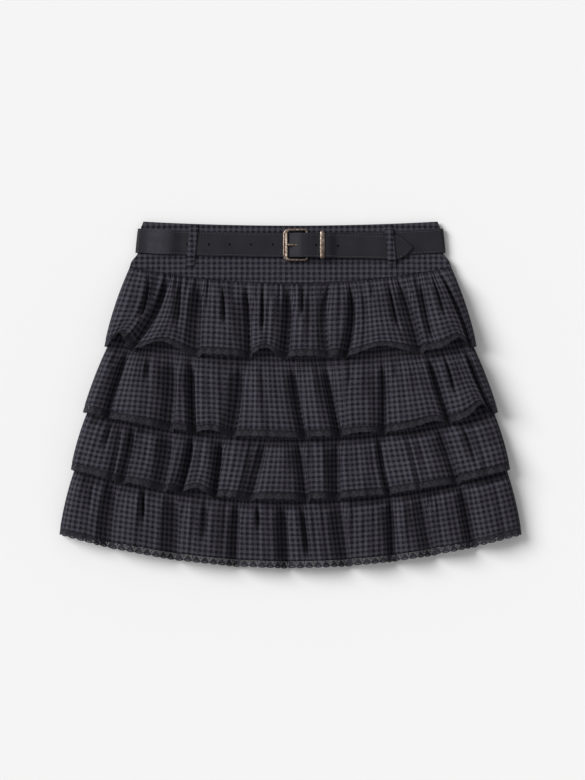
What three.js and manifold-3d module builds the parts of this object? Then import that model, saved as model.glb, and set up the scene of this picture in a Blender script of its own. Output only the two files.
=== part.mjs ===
// Tiered ruffle skirt with its own belt, laid flat with the front up.
// Units are millimetres. X runs across the skirt, Y up towards the waist, Z up from the ground.

import * as THREE from 'three';
import { mergeVertices } from 'three/addons/utils/BufferGeometryUtils.js';
import Module from 'manifold-3d';

const wasm = await Module();
wasm.setup();

// Driving sizes
const CLOTH = 1.2;
const BASE_CLOTH = 1.0;
const LACE = 1.0;
const SEAM_GAP = 0.3;
const LACE_SEAM_GAP = 0.7;
const LACE_DEPTH = 9;
const SCALLOP_PITCH = 12;
const SCALLOP_DEPTH = 2.3;
const SIDE_BULGE = 3;
const SIDE_ROLL = 8;

// Heights of the layers above the ground, back to front
const BACK_SEAM_ZONE = 4.75;
const BACK_SIDE = 8.1;
const BASE_BACK = 7.1;
const BASE_FRONT = 8.4;
const FRONT_SIDE = 8.4;
const FRONT_TROUGH = 10.95;
const FRONT_TROUGH_OVER_SEAM = 14.5;
const HEM_SIDE_FRONT = 5;
const HEM_TROUGH = 6.8;
const SEAM_GATHER = 2;
const BACK_SEAM_GATHER = 0.8;
const BACK_GROOVE = 3.2;
const BACK_FLAT_ABOVE = 0.55;
const FRONT_CROWN = 0.6;
const BACK_CROWN = 0.35;

// Each tier: its seam and its lower edge as shallow arcs (height at the centre line, rise to the
// side, half width), how high its waves stand, and where down the tier its valleys climb over the
// seam of the next one, as fractions of the way from seam to edge.
const TIER_COLUMNS = [
  'seamY', 'seamSag', 'seamHalf', 'edgeY', 'edgeSag', 'edgeHalf',
  'waves', 'growFrom', 'growTo', 'climbFrom', 'climbTo', 'leftRise',
];
const TIER_ROWS = [
  [132.9, 19.2, 192.6, 44, 13.6, 223, 12.5, 0, 0.3, 0.5, 0.7, 6],
  [61.2, 19, 208, -52, 31, 248.7, 13, 0.24, 0.45, 0.6, 0.8, 0],
  [-34.8, 31, 236, -126, 36.6, 263, 13, 0.24, 0.45, 0.56, 0.76, 0],
  [-109, 37, 252, -207, 40, 277, 14, 0.22, 0.42, 2, 3, 0],
];
const ROW_PLACES = [
  [0, 0.25, 0.5, 0.72],
  [0, 0.24, 0.46, 0.8],
  [0, 0.24, 0.46, 0.77],
  [0, 0.22, 0.45, 0.72],
];
const BACK_HEM_SHORTER = 12;

// Folds of the front, left to right. top, middle and hem are places across the skirt, width is the
// width of the valley at the hem, depth is 1 for a valley that reaches the layer below, reach is how
// far down the fold runs, and rise is how far the hem of the wave on its right curls up.
const FOLD_COLUMNS = ['top', 'middle', 'hem', 'width', 'depth', 'reach', 'rise'];
const FRONT_FOLDS = [
  [
    [-169, -176, -200, 6, 0.8, 0.6], [-147, -161, -192, 11, 0.9, 1, 8],
    [-131, -135, -142, 8, 0.5, 0.65], [-109, -113, -115, 18, 0.9, 1],
    [-82, -80, -82, 6, 0.6, 0.55], [-69, -68, -65, 4, 0.4, 0.2],
    [-55, -52, -51, 12, 1, 1, 10], [-41, -41, -41, 4, 0.5, 0.2],
    [-33, -34, -35, 6, 0.55, 0.65], [-21, -23, -25, 4, 0.4, 0.2],
    [-5, -4, -9, 14, 1, 1], [14, 13, 11, 5, 0.5, 0.4],
    [26, 27, 27, 4, 0.4, 0.2], [45, 39, 45, 10, 0.6, 1],
    [69, 73, 63, 10, 0.95, 1, 12], [95, 99, 103, 5, 0.5, 0.2],
    [116, 124, 136, 7, 0.7, 0.65], [127, 141, 153, 14, 1, 1, 5],
    [153, 160, 172, 8, 0.6, 0.85], [167, 181, 194, 6, 0.5, 0.55],
    [176, 200, 215, 6, 0.9, 1],
  ],
  [
    [-195, -217, -233, 6, 0.4, 0.4], [-184, -205, -220, 8, 0.75, 1],
    [-167, -172, -176, 7, 0.55, 0.5], [-145, -143, -148, 20, 1, 1],
    [-119, -118, -116, 10, 0.95, 1, 4], [-101, -101, -100, 5, 0.5, 0.25],
    [-85, -83, -82, 5, 0.4, 0.2], [-63, -63, -73, 17, 0.95, 1],
    [-25, -22, -17, 6, 0.4, 0.25], [-2, 5, 16, 12, 1, 1],
    [16, 20, 26, 5, 0.4, 0.2], [35, 46, 58, 11, 1, 1, 2],
    [56, 61, 65, 5, 0.4, 0.25], [76, 69, 72, 5, 0.4, 0.4],
    [107, 110, 110, 10, 0.95, 1], [121, 125, 129, 6, 0.6, 0.4],
    [155, 172, 189, 8, 1, 1, 7], [172, 190, 201, 7, 0.6, 0.7],
    [199, 219, 241, 6, 0.9, 1],
  ],
  [
    [-207, -221, -233, 8, 0.4, 0.6], [-200, -206, -215, 7, 0.3, 1],
    [-187, -191, -202, 10, 0.75, 1], [-146, -148, -157, 19, 0.85, 1],
    [-118, -121, -133, 10, 0.95, 1, 7], [-82, -86, -92, 10, 1, 1],
    [-27, -38, -51, 16, 0.8, 1], [2, 11, 16, 16, 1, 1],
    [32, 33, 34, 5, 0.4, 0.25], [53, 53, 53, 16, 1, 1],
    [103, 107, 117, 8, 0.85, 1], [131, 143, 153, 6, 0.2, 1],
    [167, 183, 197, 14, 1, 1], [194, 212, 223, 10, 0.45, 0.8],
  ],
  [
    [-232, -240, -246, 10, 0.25, 0.6], [-206, -217, -221, 18, 0.75, 1],
    [-175, -177, -181, 7, 0.7, 0.55], [-140, -141, -143, 19, 0.9, 1],
    [-99, -103, -107, 10, 0.5, 0.7], [-64, -67, -69, 16, 1, 1],
    [-40, -39, -38, 7, 0.6, 0.5], [-11, -9, -7, 14, 1, 1],
    [11, 16, 21, 7, 0.6, 0.85], [52, 58, 65, 18, 0.95, 1],
    [85, 86, 86, 5, 0.4, 0.2], [116, 119, 121, 12, 1, 1],
    [149, 157, 167, 17, 0.8, 1], [164, 169, 177, 7, 0.5, 0.4],
    [197, 207, 217, 14, 1, 1],
  ],
];

// Yoke sections from the waist down to the first gather seam
const YOKE_COLUMNS = ['down', 'half', 'frontLow', 'backLow'];
const YOKE_ROWS = [
  [0, 176, 5.25, 3.7],
  [0.15, 179.6, 5.25, 3.7],
  [0.45, 181.4, 5.25, 3.7],
  [0.68, 182.6, 5.25, 3.7],
  [0.85, 190.2, 7.2, 5.9],
  [1, 192.6, 8.4, 6.9],
];
const WAIST_Y = 202.8;
const WAIST_SAG = 4.8;
const YOKE_SEAM_Y = 133.2;
const YOKE_SEAM_SAG = 19.2;
const YOKE_SEAM_HALF = 193;
const YOKE_STEPS = 16;

// Hidden skirt base that carries the lower tiers
const BASE_TOP_HALF = 184.5;
const BASE_HEM_HALF = 232;
const BASE_STEPS = 12;

// Belt strap and its buckle
const BELT_WIDTH = 29;
const BELT_THICK = 1.8;
const BELT_Y = 179.4;
const BELT_SAG = 5.4;
const BELT_END_X = 181;
const BELT_ARC_HALF = 184;
const BELT_LAYER_GAP = 0.35;
const BELT_FRONT_Z = 7.7;
const BELT_BACK_Z = 2.45;
const BELT_FLARE = 0.00056;
const BELT_TIP_DROP = 3;
const BELT_TIP_X = 146;
const BAR_X = 19.5;
const BAR_Z = 10.15;
const BAR_RADIUS = 1.2;
const WRAP_RADIUS = 2.45;
const HOLE_RADIUS = 1.5;
const HOLE_Y = 180;
const HOLE_LOW = 6;
const HOLES_SINGLE = [-123, -97.4, -72.8, -47.4, -21];
const HOLES_OVERLAY = [31, 57];
const HOLES_OVERLAY_LOW = [12.2, 8.8];
const HOLE_SIDES = 12;
const HOLE_CUT = 4;
const BUCKLE_LEFT_X = -6;
const BUCKLE_LEFT_Z = 10.25;
const BUCKLE_HALF_HEIGHT = 17.9;
const BUCKLE_Y = 179.5;
const PRONG_RADIUS = 1;
const PRONG_CLEARANCE = 0.35;
const PRONG_START = new THREE.Vector3(17.4, BUCKLE_Y, 12);
const PRONG_END = new THREE.Vector3(-6, BUCKLE_Y, 12.9);
const SLOT_HALF = 2.2;
const SLOT_CLEARANCE = 0.2;
const KEEPER_X = 35.2;
const KEEPER_WIDTH = 5.6;

// Belt loops: place at the waist and at the lower end, and the strap surface each one spans
const LOOP_WIDTH = 10;
const LOOP_STRAP_ROOM = 0.7;
const LOOP_END_Y = 153.6;
const KNEE_ROOM = 0.4;
const LOOP_COLUMNS = ['name', 'topX', 'bottomX', 'side', 'strap'];
const LOOP_ROWS = [
  ['belt_loop_front_left', -115, -120.3, 1, 8.6],
  ['belt_loop_front_right', 117, 122, 1, 10.75],
  ['belt_loop_back_left', -113.4, -118, -1, 1.55],
  ['belt_loop_back_centre', 0, 0, -1, 1.55],
  ['belt_loop_back_right', 113.4, 118, -1, 1.55],
];

const COLOURS = {
  cloth: 0x2e2b33,
  back: 0x2b2830,
  base: 0x1f1d23,
  lace: 0x25232a,
  leather: 0x17161a,
  metal: 0x8b8073,
};

function mix(a, b, t) {
  return a + (b - a) * t;
}

function clamp(value, low, high) {
  return Math.min(high, Math.max(low, value));
}

function smooth(low, high, value) {
  const t = clamp((value - low) / (high - low), 0, 1);
  return t * t * (3 - 2 * t);
}

function table(columns, rows) {
  return rows.map((row) => Object.fromEntries(columns.map((name, i) => [name, row[i] ?? 0])));
}

function arc(centre, sag, half, x) {
  return centre + sag * (x / half) ** 2;
}

const skirt = new THREE.Group();
const materials = {
  cloth: new THREE.MeshStandardMaterial({ color: COLOURS.cloth, roughness: 0.95, metalness: 0 }),
  back: new THREE.MeshStandardMaterial({ color: COLOURS.back, roughness: 0.95, metalness: 0 }),
  base: new THREE.MeshStandardMaterial({ color: COLOURS.base, roughness: 0.95, metalness: 0 }),
  lace: new THREE.MeshStandardMaterial({ color: COLOURS.lace, roughness: 0.9, metalness: 0 }),
  leather: new THREE.MeshStandardMaterial({ color: COLOURS.leather, roughness: 0.55, metalness: 0 }),
  metal: new THREE.MeshStandardMaterial({ color: COLOURS.metal, roughness: 0.38, metalness: 0.9 }),
};

function add(name, geometry, material) {
  const mesh = new THREE.Mesh(geometry, materials[material].clone());
  mesh.name = name;
  skirt.add(mesh);
}

// A closed wall from two grids of points, upper and lower, with rows running down the cloth
function wall(upper, lower) {
  const rows = upper.length;
  const columns = upper[0].length;
  const points = [...upper.flat(), ...lower.flat()];
  const up = (j, i) => j * columns + i;
  const low = (j, i) => rows * columns + j * columns + i;
  const faces = [];
  for (let j = 0; j < rows - 1; j += 1) {
    for (let i = 0; i < columns - 1; i += 1) {
      faces.push(up(j, i), up(j + 1, i), up(j + 1, i + 1));
      faces.push(up(j, i), up(j + 1, i + 1), up(j, i + 1));
      faces.push(low(j, i), low(j + 1, i + 1), low(j + 1, i));
      faces.push(low(j, i), low(j, i + 1), low(j + 1, i + 1));
    }
  }
  const end = rows - 1;
  for (let i = 0; i < columns - 1; i += 1) {
    faces.push(up(0, i), up(0, i + 1), low(0, i + 1), up(0, i), low(0, i + 1), low(0, i));
    faces.push(up(end, i), low(end, i), low(end, i + 1), up(end, i), low(end, i + 1), up(end, i + 1));
  }
  const side = columns - 1;
  for (let j = 0; j < rows - 1; j += 1) {
    faces.push(up(j, 0), low(j + 1, 0), up(j + 1, 0), up(j, 0), low(j, 0), low(j + 1, 0));
    faces.push(up(j, side), up(j + 1, side), low(j + 1, side));
    faces.push(up(j, side), low(j + 1, side), low(j, side));
  }
  const geometry = new THREE.BufferGeometry();
  const values = points.flatMap((point) => point.toArray());
  geometry.setAttribute('position', new THREE.Float32BufferAttribute(values, 3));
  geometry.setIndex(faces);
  return geometry;
}

// The other face of the wall, moved square to the cloth. Side edges move level.
function offset(grid, distance) {
  const rows = grid.length;
  const columns = grid[0].length;
  return grid.map((row, j) => row.map((point, i) => {
    if (i === 0 || i === columns - 1) {
      const inward = i === 0 ? 1 : -1;
      return point.clone().add(new THREE.Vector3(inward * Math.abs(distance), 0, 0));
    }
    const across = row[i + 1].clone().sub(row[i - 1]);
    const down = grid[Math.min(rows - 1, j + 1)][i].clone().sub(grid[Math.max(0, j - 1)][i]);
    const normal = down.cross(across).normalize();
    return point.clone().addScaledVector(normal, distance);
  }));
}

function isLarge(fold) {
  return fold.reach === 1 && fold.depth > 0.3;
}

// One gathered tier: where its folds run, and the shape of its surface
function makeRuffle(tier, folds, crown) {
  const half = (v) => mix(tier.seamHalf, tier.edgeHalf, v) + SIDE_BULGE * 4 * v * (1 - v);
  const place = (fold, v) => fold.top * (1 - v) * (1 - 2 * v) + fold.middle * 4 * v * (1 - v)
    + fold.hem * v * (2 * v - 1);
  const valley = (fold, v) => fold.width * 0.62 * (0.4 + 0.6 * smooth(0, 0.6, v));
  const fade = (reach, v) => 1 - smooth(reach - 0.15, reach + 0.1, v);
  const reachAt = (fold, v) => (fold.reach < 1 ? fade(fold.reach, v) : 1);
  const knots = (v) => [-half(v), ...folds.map((fold) => place(fold, v)), half(v)];
  const majors = folds.filter(isLarge);

  const across = (q, v) => {
    const stops = knots(v);
    const i = Math.min(stops.length - 2, Math.floor(q));
    return mix(stops[i], stops[i + 1], q - i);
  };
  const columnAt = (x, v) => {
    const stops = knots(v);
    let i = 0;
    while (i < stops.length - 2 && x > stops[i + 1]) {
      i += 1;
    }
    return i + (x - stops[i]) / (stops[i + 1] - stops[i]);
  };
  const length = (q) => {
    const top = arc(tier.seamY, tier.seamSag, tier.seamHalf, across(q, 0));
    return top - arc(tier.edgeY, tier.edgeSag, tier.edgeHalf, across(q, 1));
  };

  // Place across and down, wave height from 0 in a valley to 1 on a crest, and side rounding
  const sample = (q, v) => {
    const x = across(q, v);
    const stops = [-half(v), ...majors.map((fold) => place(fold, v)), half(v)];
    let k = 0;
    while (k < stops.length - 2 && x > stops[k + 1]) {
      k += 1;
    }
    const f = clamp((x - stops[k]) / (stops[k + 1] - stops[k]), 0, 1);
    let crest = 1 - crown * (2 * f - 1) ** 2;
    let shift = 0;
    folds.forEach((fold) => {
      const t = (x - place(fold, v)) / valley(fold, v);
      const strength = fold.depth * reachAt(fold, v);
      crest *= 1 - strength / (1 + Math.abs(t) ** 3);
      const lean = Math.exp(-(((Math.abs(t) - 1.3) / 0.6) ** 2));
      shift -= Math.sign(t) * 0.4 * valley(fold, v) * lean * strength;
    });
    const rise = k === 0 ? tier.leftRise : majors[k - 1].rise;
    const e = clamp((half(v) - Math.abs(x)) / SIDE_ROLL, 0, 1);
    const top = arc(tier.seamY, tier.seamSag, tier.seamHalf, across(q, 0));
    return {
      x: x + shift * e,
      y: top - length(q) * v + rise * Math.sin(Math.PI * f) ** 2 * v ** 4,
      crest,
      rolled: Math.sqrt(1 - (1 - e) ** 2),
    };
  };
  return { tier, folds, half, place, valley, columnAt, across, length, sample };
}

// Columns that follow the folds closely and the crests loosely
function clothColumns(ruffle, samples, closest, widest) {
  const row = 0.6;
  const half = ruffle.half(row);
  const { folds } = ruffle;
  const fixed = [-half, half];
  const extra = [];
  [0.8, 2.8, SIDE_ROLL].forEach((inset) => extra.push(inset - half, half - inset));
  folds.forEach((fold, k) => {
    const x = ruffle.place(fold, row);
    fixed.push(x);
    const before = k === 0 ? -half : ruffle.place(folds[k - 1], row);
    const after = k === folds.length - 1 ? half : ruffle.place(folds[k + 1], row);
    const steps = fold.reach === 1 ? samples.major : samples.minor;
    steps.forEach((t) => {
      const step = t * ruffle.valley(fold, row);
      extra.push(x - Math.min(step, 0.46 * (x - before)), x + Math.min(step, 0.46 * (after - x)));
    });
  });
  const chosen = [...fixed];
  extra.forEach((x) => {
    if (chosen.every((other) => Math.abs(other - x) >= closest)) {
      chosen.push(x);
    }
  });
  chosen.sort((a, b) => a - b);
  const filled = [];
  chosen.forEach((x, i) => {
    filled.push(x);
    if (i < chosen.length - 1 && chosen[i + 1] - x > widest) {
      filled.push((x + chosen[i + 1]) / 2);
    }
  });
  return filled.map((x) => ruffle.columnAt(x, row));
}

// Columns an even way apart along the wavy edge
function laceColumns(ruffle, surface, pitch) {
  const fine = 1200;
  const last = ruffle.folds.length + 1;
  const line = [0];
  let previous = surface(0, 0.96);
  for (let i = 1; i <= fine; i += 1) {
    const point = surface((last * i) / fine, 0.96);
    line.push(line[i - 1] + point.distanceTo(previous));
    previous = point;
  }
  const count = 2 * Math.round(line[fine] / pitch);
  const columns = [];
  let i = 0;
  for (let n = 0; n <= count; n += 1) {
    const goal = (line[fine] * n) / count;
    while (i < fine - 1 && line[i + 1] < goal) {
      i += 1;
    }
    columns.push((last * (i + (goal - line[i]) / (line[i + 1] - line[i]))) / fine);
  }
  return columns;
}

function frontSurface(ruffle, number) {
  const { tier } = ruffle;
  const lastTier = number === TIER_ROWS.length;
  return (q, v) => {
    const s = ruffle.sample(q, v);
    const start = number === 1 ? SEAM_GATHER + 0.5 : SEAM_GATHER;
    const swell = mix(start, tier.waves, smooth(tier.growFrom, tier.growTo, v));
    const trough = lastTier
      ? mix(FRONT_TROUGH, HEM_TROUGH, smooth(0.25, 0.9, v))
      : mix(FRONT_TROUGH, FRONT_TROUGH_OVER_SEAM, smooth(tier.climbFrom, tier.climbTo, v));
    const side = lastTier ? mix(FRONT_SIDE, HEM_SIDE_FRONT, smooth(0.3, 1, v)) : FRONT_SIDE;
    const z = trough + swell * s.crest;
    return new THREE.Vector3(s.x, s.y, side + (z - side) * s.rolled);
  };
}

function backSurface(ruffle, number) {
  const { tier } = ruffle;
  const lastTier = number === TIER_ROWS.length;
  return (q, v) => {
    const s = ruffle.sample(q, v);
    const down = smooth(tier.growFrom, tier.growFrom + 0.18, v);
    const hollow = clamp(1 - s.crest / BACK_FLAT_ABOVE, 0, 1);
    const groove = mix(BACK_SEAM_GATHER, BACK_GROOVE, down) * hollow;
    const z = mix(BACK_SEAM_ZONE, 0, down) + groove;
    const sideHem = HEM_SIDE_FRONT - SEAM_GAP;
    const side = lastTier ? mix(BACK_SIDE, sideHem, smooth(0.3, 1, v)) : BACK_SIDE;
    const shorter = lastTier ? BACK_HEM_SHORTER * (1 - (s.x / tier.edgeHalf) ** 2) * v : 0;
    return new THREE.Vector3(s.x, s.y + Math.max(0, shorter), side - (side - z) * s.rolled);
  };
}

function grid(surface, columns, rows) {
  return rows.map((row) => columns.map((q) => surface(q, row(q))));
}

// Tiers with their lace edging, front and back
const tiers = table(TIER_COLUMNS, TIER_ROWS);

function backFolds(number) {
  const other = number % tiers.length;
  const top = tiers[number - 1].seamHalf / tiers[other].seamHalf;
  const hem = tiers[number - 1].edgeHalf / tiers[other].edgeHalf;
  const large = table(FOLD_COLUMNS, FRONT_FOLDS[other]).filter(isLarge);
  return large.reverse().map((fold) => ({
    ...fold,
    top: -fold.top * top,
    middle: -fold.middle * (top + hem) / 2,
    hem: -fold.hem * hem,
    rise: 0,
  }));
}

tiers.forEach((tier, index) => {
  const number = index + 1;
  const front = makeRuffle(tier, table(FOLD_COLUMNS, FRONT_FOLDS[index]), FRONT_CROWN);
  const surface = frontSurface(front, number);
  const clothEnd = (q) => 1 - LACE_DEPTH / front.length(q);
  const frontRows = [...ROW_PLACES[index].map((v) => () => v), clothEnd];
  const columns = clothColumns(front, { major: [0.85, 1.7], minor: [1.5] }, 2, 12);
  const upper = grid(surface, columns, frontRows);
  add(`tier_${number}_front`, wall(upper, offset(upper, -CLOTH)), 'cloth');

  const laceTop = (q) => 1 - (LACE_DEPTH - LACE_SEAM_GAP) / front.length(q);
  const edgeColumns = laceColumns(front, surface, SCALLOP_PITCH);
  const laceRow = edgeColumns.map((q) => surface(q, laceTop(q)));
  const scallopAt = (q, i) => (i % 2 ? 0 : SCALLOP_DEPTH / front.length(q));
  const edgeRow = edgeColumns.map((q, i) => surface(q, 1 - scallopAt(q, i)));
  const laceUpper = [laceRow, edgeRow];
  add(`lace_${number}_front`, wall(laceUpper, offset(laceUpper, -LACE)), 'lace');

  const back = makeRuffle({ ...tier, leftRise: 0 }, backFolds(number), BACK_CROWN);
  const under = backSurface(back, number);
  const backColumns = clothColumns(back, { major: [1.3], minor: [] }, 4, 26);
  const backEnd = (q) => 1 - LACE_DEPTH / back.length(q);
  const backRows = [() => 0, () => tier.growFrom + 0.02, () => tier.growFrom + 0.2, backEnd];
  const outer = grid(under, backColumns, backRows);
  add(`tier_${number}_back`, wall(offset(outer, CLOTH), outer), 'back');

  const backLaceTop = (q) => 1 - (LACE_DEPTH - LACE_SEAM_GAP) / back.length(q);
  const laceOuter = grid(under, backColumns, [backLaceTop, () => 1]);
  add(`lace_${number}_back`, wall(offset(laceOuter, LACE), laceOuter), 'lace');
});

// Yoke, front and back
const yokeSections = table(YOKE_COLUMNS, YOKE_ROWS);

function yokeY(x, down) {
  const top = arc(WAIST_Y, WAIST_SAG, YOKE_ROWS[0][1], x);
  return mix(top, arc(YOKE_SEAM_Y, YOKE_SEAM_SAG, YOKE_SEAM_HALF, x), down);
}

function yokeHeight(x, y, column) {
  const top = yokeY(x, 0);
  const down = clamp((top - y) / (top - yokeY(x, 1)), 0, 1);
  let i = 0;
  while (i < yokeSections.length - 2 && down > yokeSections[i + 1].down) {
    i += 1;
  }
  const a = yokeSections[i];
  const b = yokeSections[i + 1];
  return mix(a[column], b[column], clamp((down - a.down) / (b.down - a.down), 0, 1));
}

function yokeGrid(column, lift) {
  return yokeSections.map((section) => {
    const points = [];
    for (let i = 0; i <= YOKE_STEPS; i += 1) {
      const x = section.half * ((2 * i) / YOKE_STEPS - 1);
      points.push(new THREE.Vector3(x, yokeY(x, section.down), section[column] + lift));
    }
    return points;
  });
}

add('yoke_front', wall(yokeGrid('frontLow', CLOTH), yokeGrid('frontLow', 0)), 'cloth');
add('yoke_back', wall(yokeGrid('backLow', CLOTH), yokeGrid('backLow', 0)), 'back');

// Hidden base, front and back
function baseGrid(z) {
  const last = tiers[tiers.length - 1];
  return [0, 0.34, 0.67, 1].map((down) => {
    const half = mix(BASE_TOP_HALF, BASE_HEM_HALF, down);
    const points = [];
    for (let i = 0; i <= BASE_STEPS; i += 1) {
      const x = half * ((2 * i) / BASE_STEPS - 1);
      const top = yokeY(x, 1) - SEAM_GAP;
      const hem = arc(last.seamY, last.seamSag, last.seamHalf, x);
      points.push(new THREE.Vector3(x, mix(top, hem, down), z));
    }
    return points;
  });
}

add('base_front', wall(baseGrid(BASE_FRONT + BASE_CLOTH), baseGrid(BASE_FRONT)), 'base');
add('base_back', wall(baseGrid(BASE_BACK + BASE_CLOTH), baseGrid(BASE_BACK)), 'base');

// Solid helpers for pieces that are cut or joined
function solid(geometry) {
  const bare = geometry.clone();
  bare.deleteAttribute('normal');
  bare.deleteAttribute('uv');
  const merged = mergeVertices(bare, 1e-4);
  return new wasm.Manifold(new wasm.Mesh({
    numProp: 3,
    vertProperties: new Float32Array(merged.attributes.position.array),
    triVerts: new Uint32Array(merged.index.array),
  }));
}

function geometryOf(body) {
  const mesh = body.getMesh();
  const geometry = new THREE.BufferGeometry();
  geometry.setAttribute('position', new THREE.Float32BufferAttribute(mesh.vertProperties, 3));
  geometry.setIndex(Array.from(mesh.triVerts));
  return geometry;
}

function rod(from, to, startRadius, endRadius, sides) {
  const length = from.distanceTo(to);
  const geometry = new THREE.CylinderGeometry(endRadius, startRadius, length, sides);
  const along = to.clone().sub(from).normalize();
  const up = new THREE.Vector3(0, 1, 0);
  geometry.applyQuaternion(new THREE.Quaternion().setFromUnitVectors(up, along));
  const middle = from.clone().add(to).multiplyScalar(0.5);
  geometry.translate(middle.x, middle.y, middle.z);
  return geometry;
}

// Both faces of a strip that follows a line of [along, height] points
function stripSides(line, thickness) {
  return line.map((point, i) => {
    const before = line[Math.max(0, i - 1)];
    const after = line[Math.min(line.length - 1, i + 1)];
    const first = new THREE.Vector2(point[0] - before[0], point[1] - before[1]).normalize();
    const second = new THREE.Vector2(after[0] - point[0], after[1] - point[1]).normalize();
    const along = first.clone().add(second).normalize();
    const bend = Math.max(first.dot(along), second.dot(along), 0.5);
    const reach = thickness / 2 / bend;
    return {
      outer: [point[0] - along.y * reach, point[1] + along.x * reach],
      inner: [point[0] + along.y * reach, point[1] - along.x * reach],
    };
  });
}

// Belt strap: from the folded end at the buckle bar, round the right side, across the back, round
// the left side and over to the pointed end.
function turn(centreX, centreZ, radius, from, to, steps) {
  const points = [];
  for (let i = 0; i <= steps; i += 1) {
    const angle = THREE.MathUtils.degToRad(mix(from, to, i / steps));
    points.push([centreX + radius * Math.cos(angle), centreZ + radius * Math.sin(angle)]);
  }
  return points;
}

function straight(from, to, z, steps) {
  const points = [];
  for (let i = 1; i < steps; i += 1) {
    points.push([mix(from, to, i / steps), z]);
  }
  return points;
}

// Height across of the strap's upper layer, which runs straight to its pointed end
function overlayY(x) {
  return BELT_Y - (BELT_TIP_DROP * x) / BELT_TIP_X;
}

function beltGeometry() {
  const overlayZ = BELT_FRONT_Z + BELT_THICK + BELT_LAYER_GAP;
  const bendRadius = (BELT_FRONT_Z - BELT_BACK_Z) / 2;
  const middleZ = (BELT_FRONT_Z + BELT_BACK_Z) / 2;
  const under = [
    [47, 8.95], [31, 8.95], [25, 7.9],
    ...turn(BAR_X, BAR_Z, WRAP_RADIUS, -90, -270, 8),
    [25, 11.9], [31, 11.1], [46, 11.1], [54.5, BELT_FRONT_Z],
    ...straight(54.5, BELT_END_X, BELT_FRONT_Z, 6),
    ...turn(BELT_END_X, middleZ, bendRadius, 90, -90, 6),
    ...straight(BELT_END_X, -BELT_END_X, BELT_BACK_Z, 12),
    ...turn(-BELT_END_X, middleZ, bendRadius, 270, 90, 6),
    ...straight(-BELT_END_X, -14, BELT_FRONT_Z, 6),
    [-14, BELT_FRONT_Z], [-3, BELT_FRONT_Z], [1, 8.9], [8, 13.1],
  ];
  const over = [
    [13, 14.5], [19.5, 14.85], [26, 14.1], [31, 13.25], [45.5, 13.25], [54, overlayZ], [78, overlayZ],
    [100, overlayZ], [116, overlayZ], [130, overlayZ], [136, overlayZ], [141, overlayZ],
    [144.5, overlayZ], [BELT_TIP_X, overlayZ],
  ];
  const tipHalves = { 136: 12.2, 141: 8.5, 144.5: 4, 146: 0.8 };
  const sides = stripSides([...under, ...over], BELT_THICK);
  const stations = sides.map((side, i) => {
    const x = i < under.length ? under[i][0] : over[i - under.length][0];
    const onTop = i >= under.length;
    const centre = onTop ? overlayY(x) : arc(BELT_Y, BELT_SAG, BELT_ARC_HALF, x);
    const halfWidth = onTop && tipHalves[x] ? tipHalves[x] : BELT_WIDTH / 2;
    const row = (point) => [-1, 1].map((end) => {
      const y = end * halfWidth;
      return new THREE.Vector3(point[0] * (1 - BELT_FLARE * y), centre + y, point[1]);
    });
    return { upper: row(side.outer), lower: row(side.inner) };
  });
  return wall(stations.map((s) => s.upper), stations.map((s) => s.lower));
}

function holeCutter(x, y, low) {
  const from = new THREE.Vector3(x, y, low);
  const to = new THREE.Vector3(x, y, low + HOLE_CUT);
  return solid(rod(from, to, HOLE_RADIUS, HOLE_RADIUS, HOLE_SIDES));
}

let strap = solid(beltGeometry());
HOLES_SINGLE.forEach((x) => {
  strap = strap.subtract(holeCutter(x, HOLE_Y, HOLE_LOW));
});
HOLES_OVERLAY.forEach((x, i) => {
  strap = strap.subtract(holeCutter(x, overlayY(x), HOLES_OVERLAY_LOW[i]));
});
const slotFrom = new THREE.Vector3(BAR_X, BUCKLE_Y - SLOT_HALF, BAR_Z);
const slotTo = new THREE.Vector3(BAR_X, BUCKLE_Y + SLOT_HALF, BAR_Z);
const slotRadius = WRAP_RADIUS + BELT_THICK / 2 + SLOT_CLEARANCE;
const prongRoom = PRONG_RADIUS + PRONG_CLEARANCE;
strap = strap.subtract(solid(rod(slotFrom, slotTo, slotRadius, slotRadius, 20)));
strap = strap.subtract(solid(rod(PRONG_START, PRONG_END, prongRoom, prongRoom, HOLE_SIDES)));
add('belt_strap', geometryOf(strap), 'leather');

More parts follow.
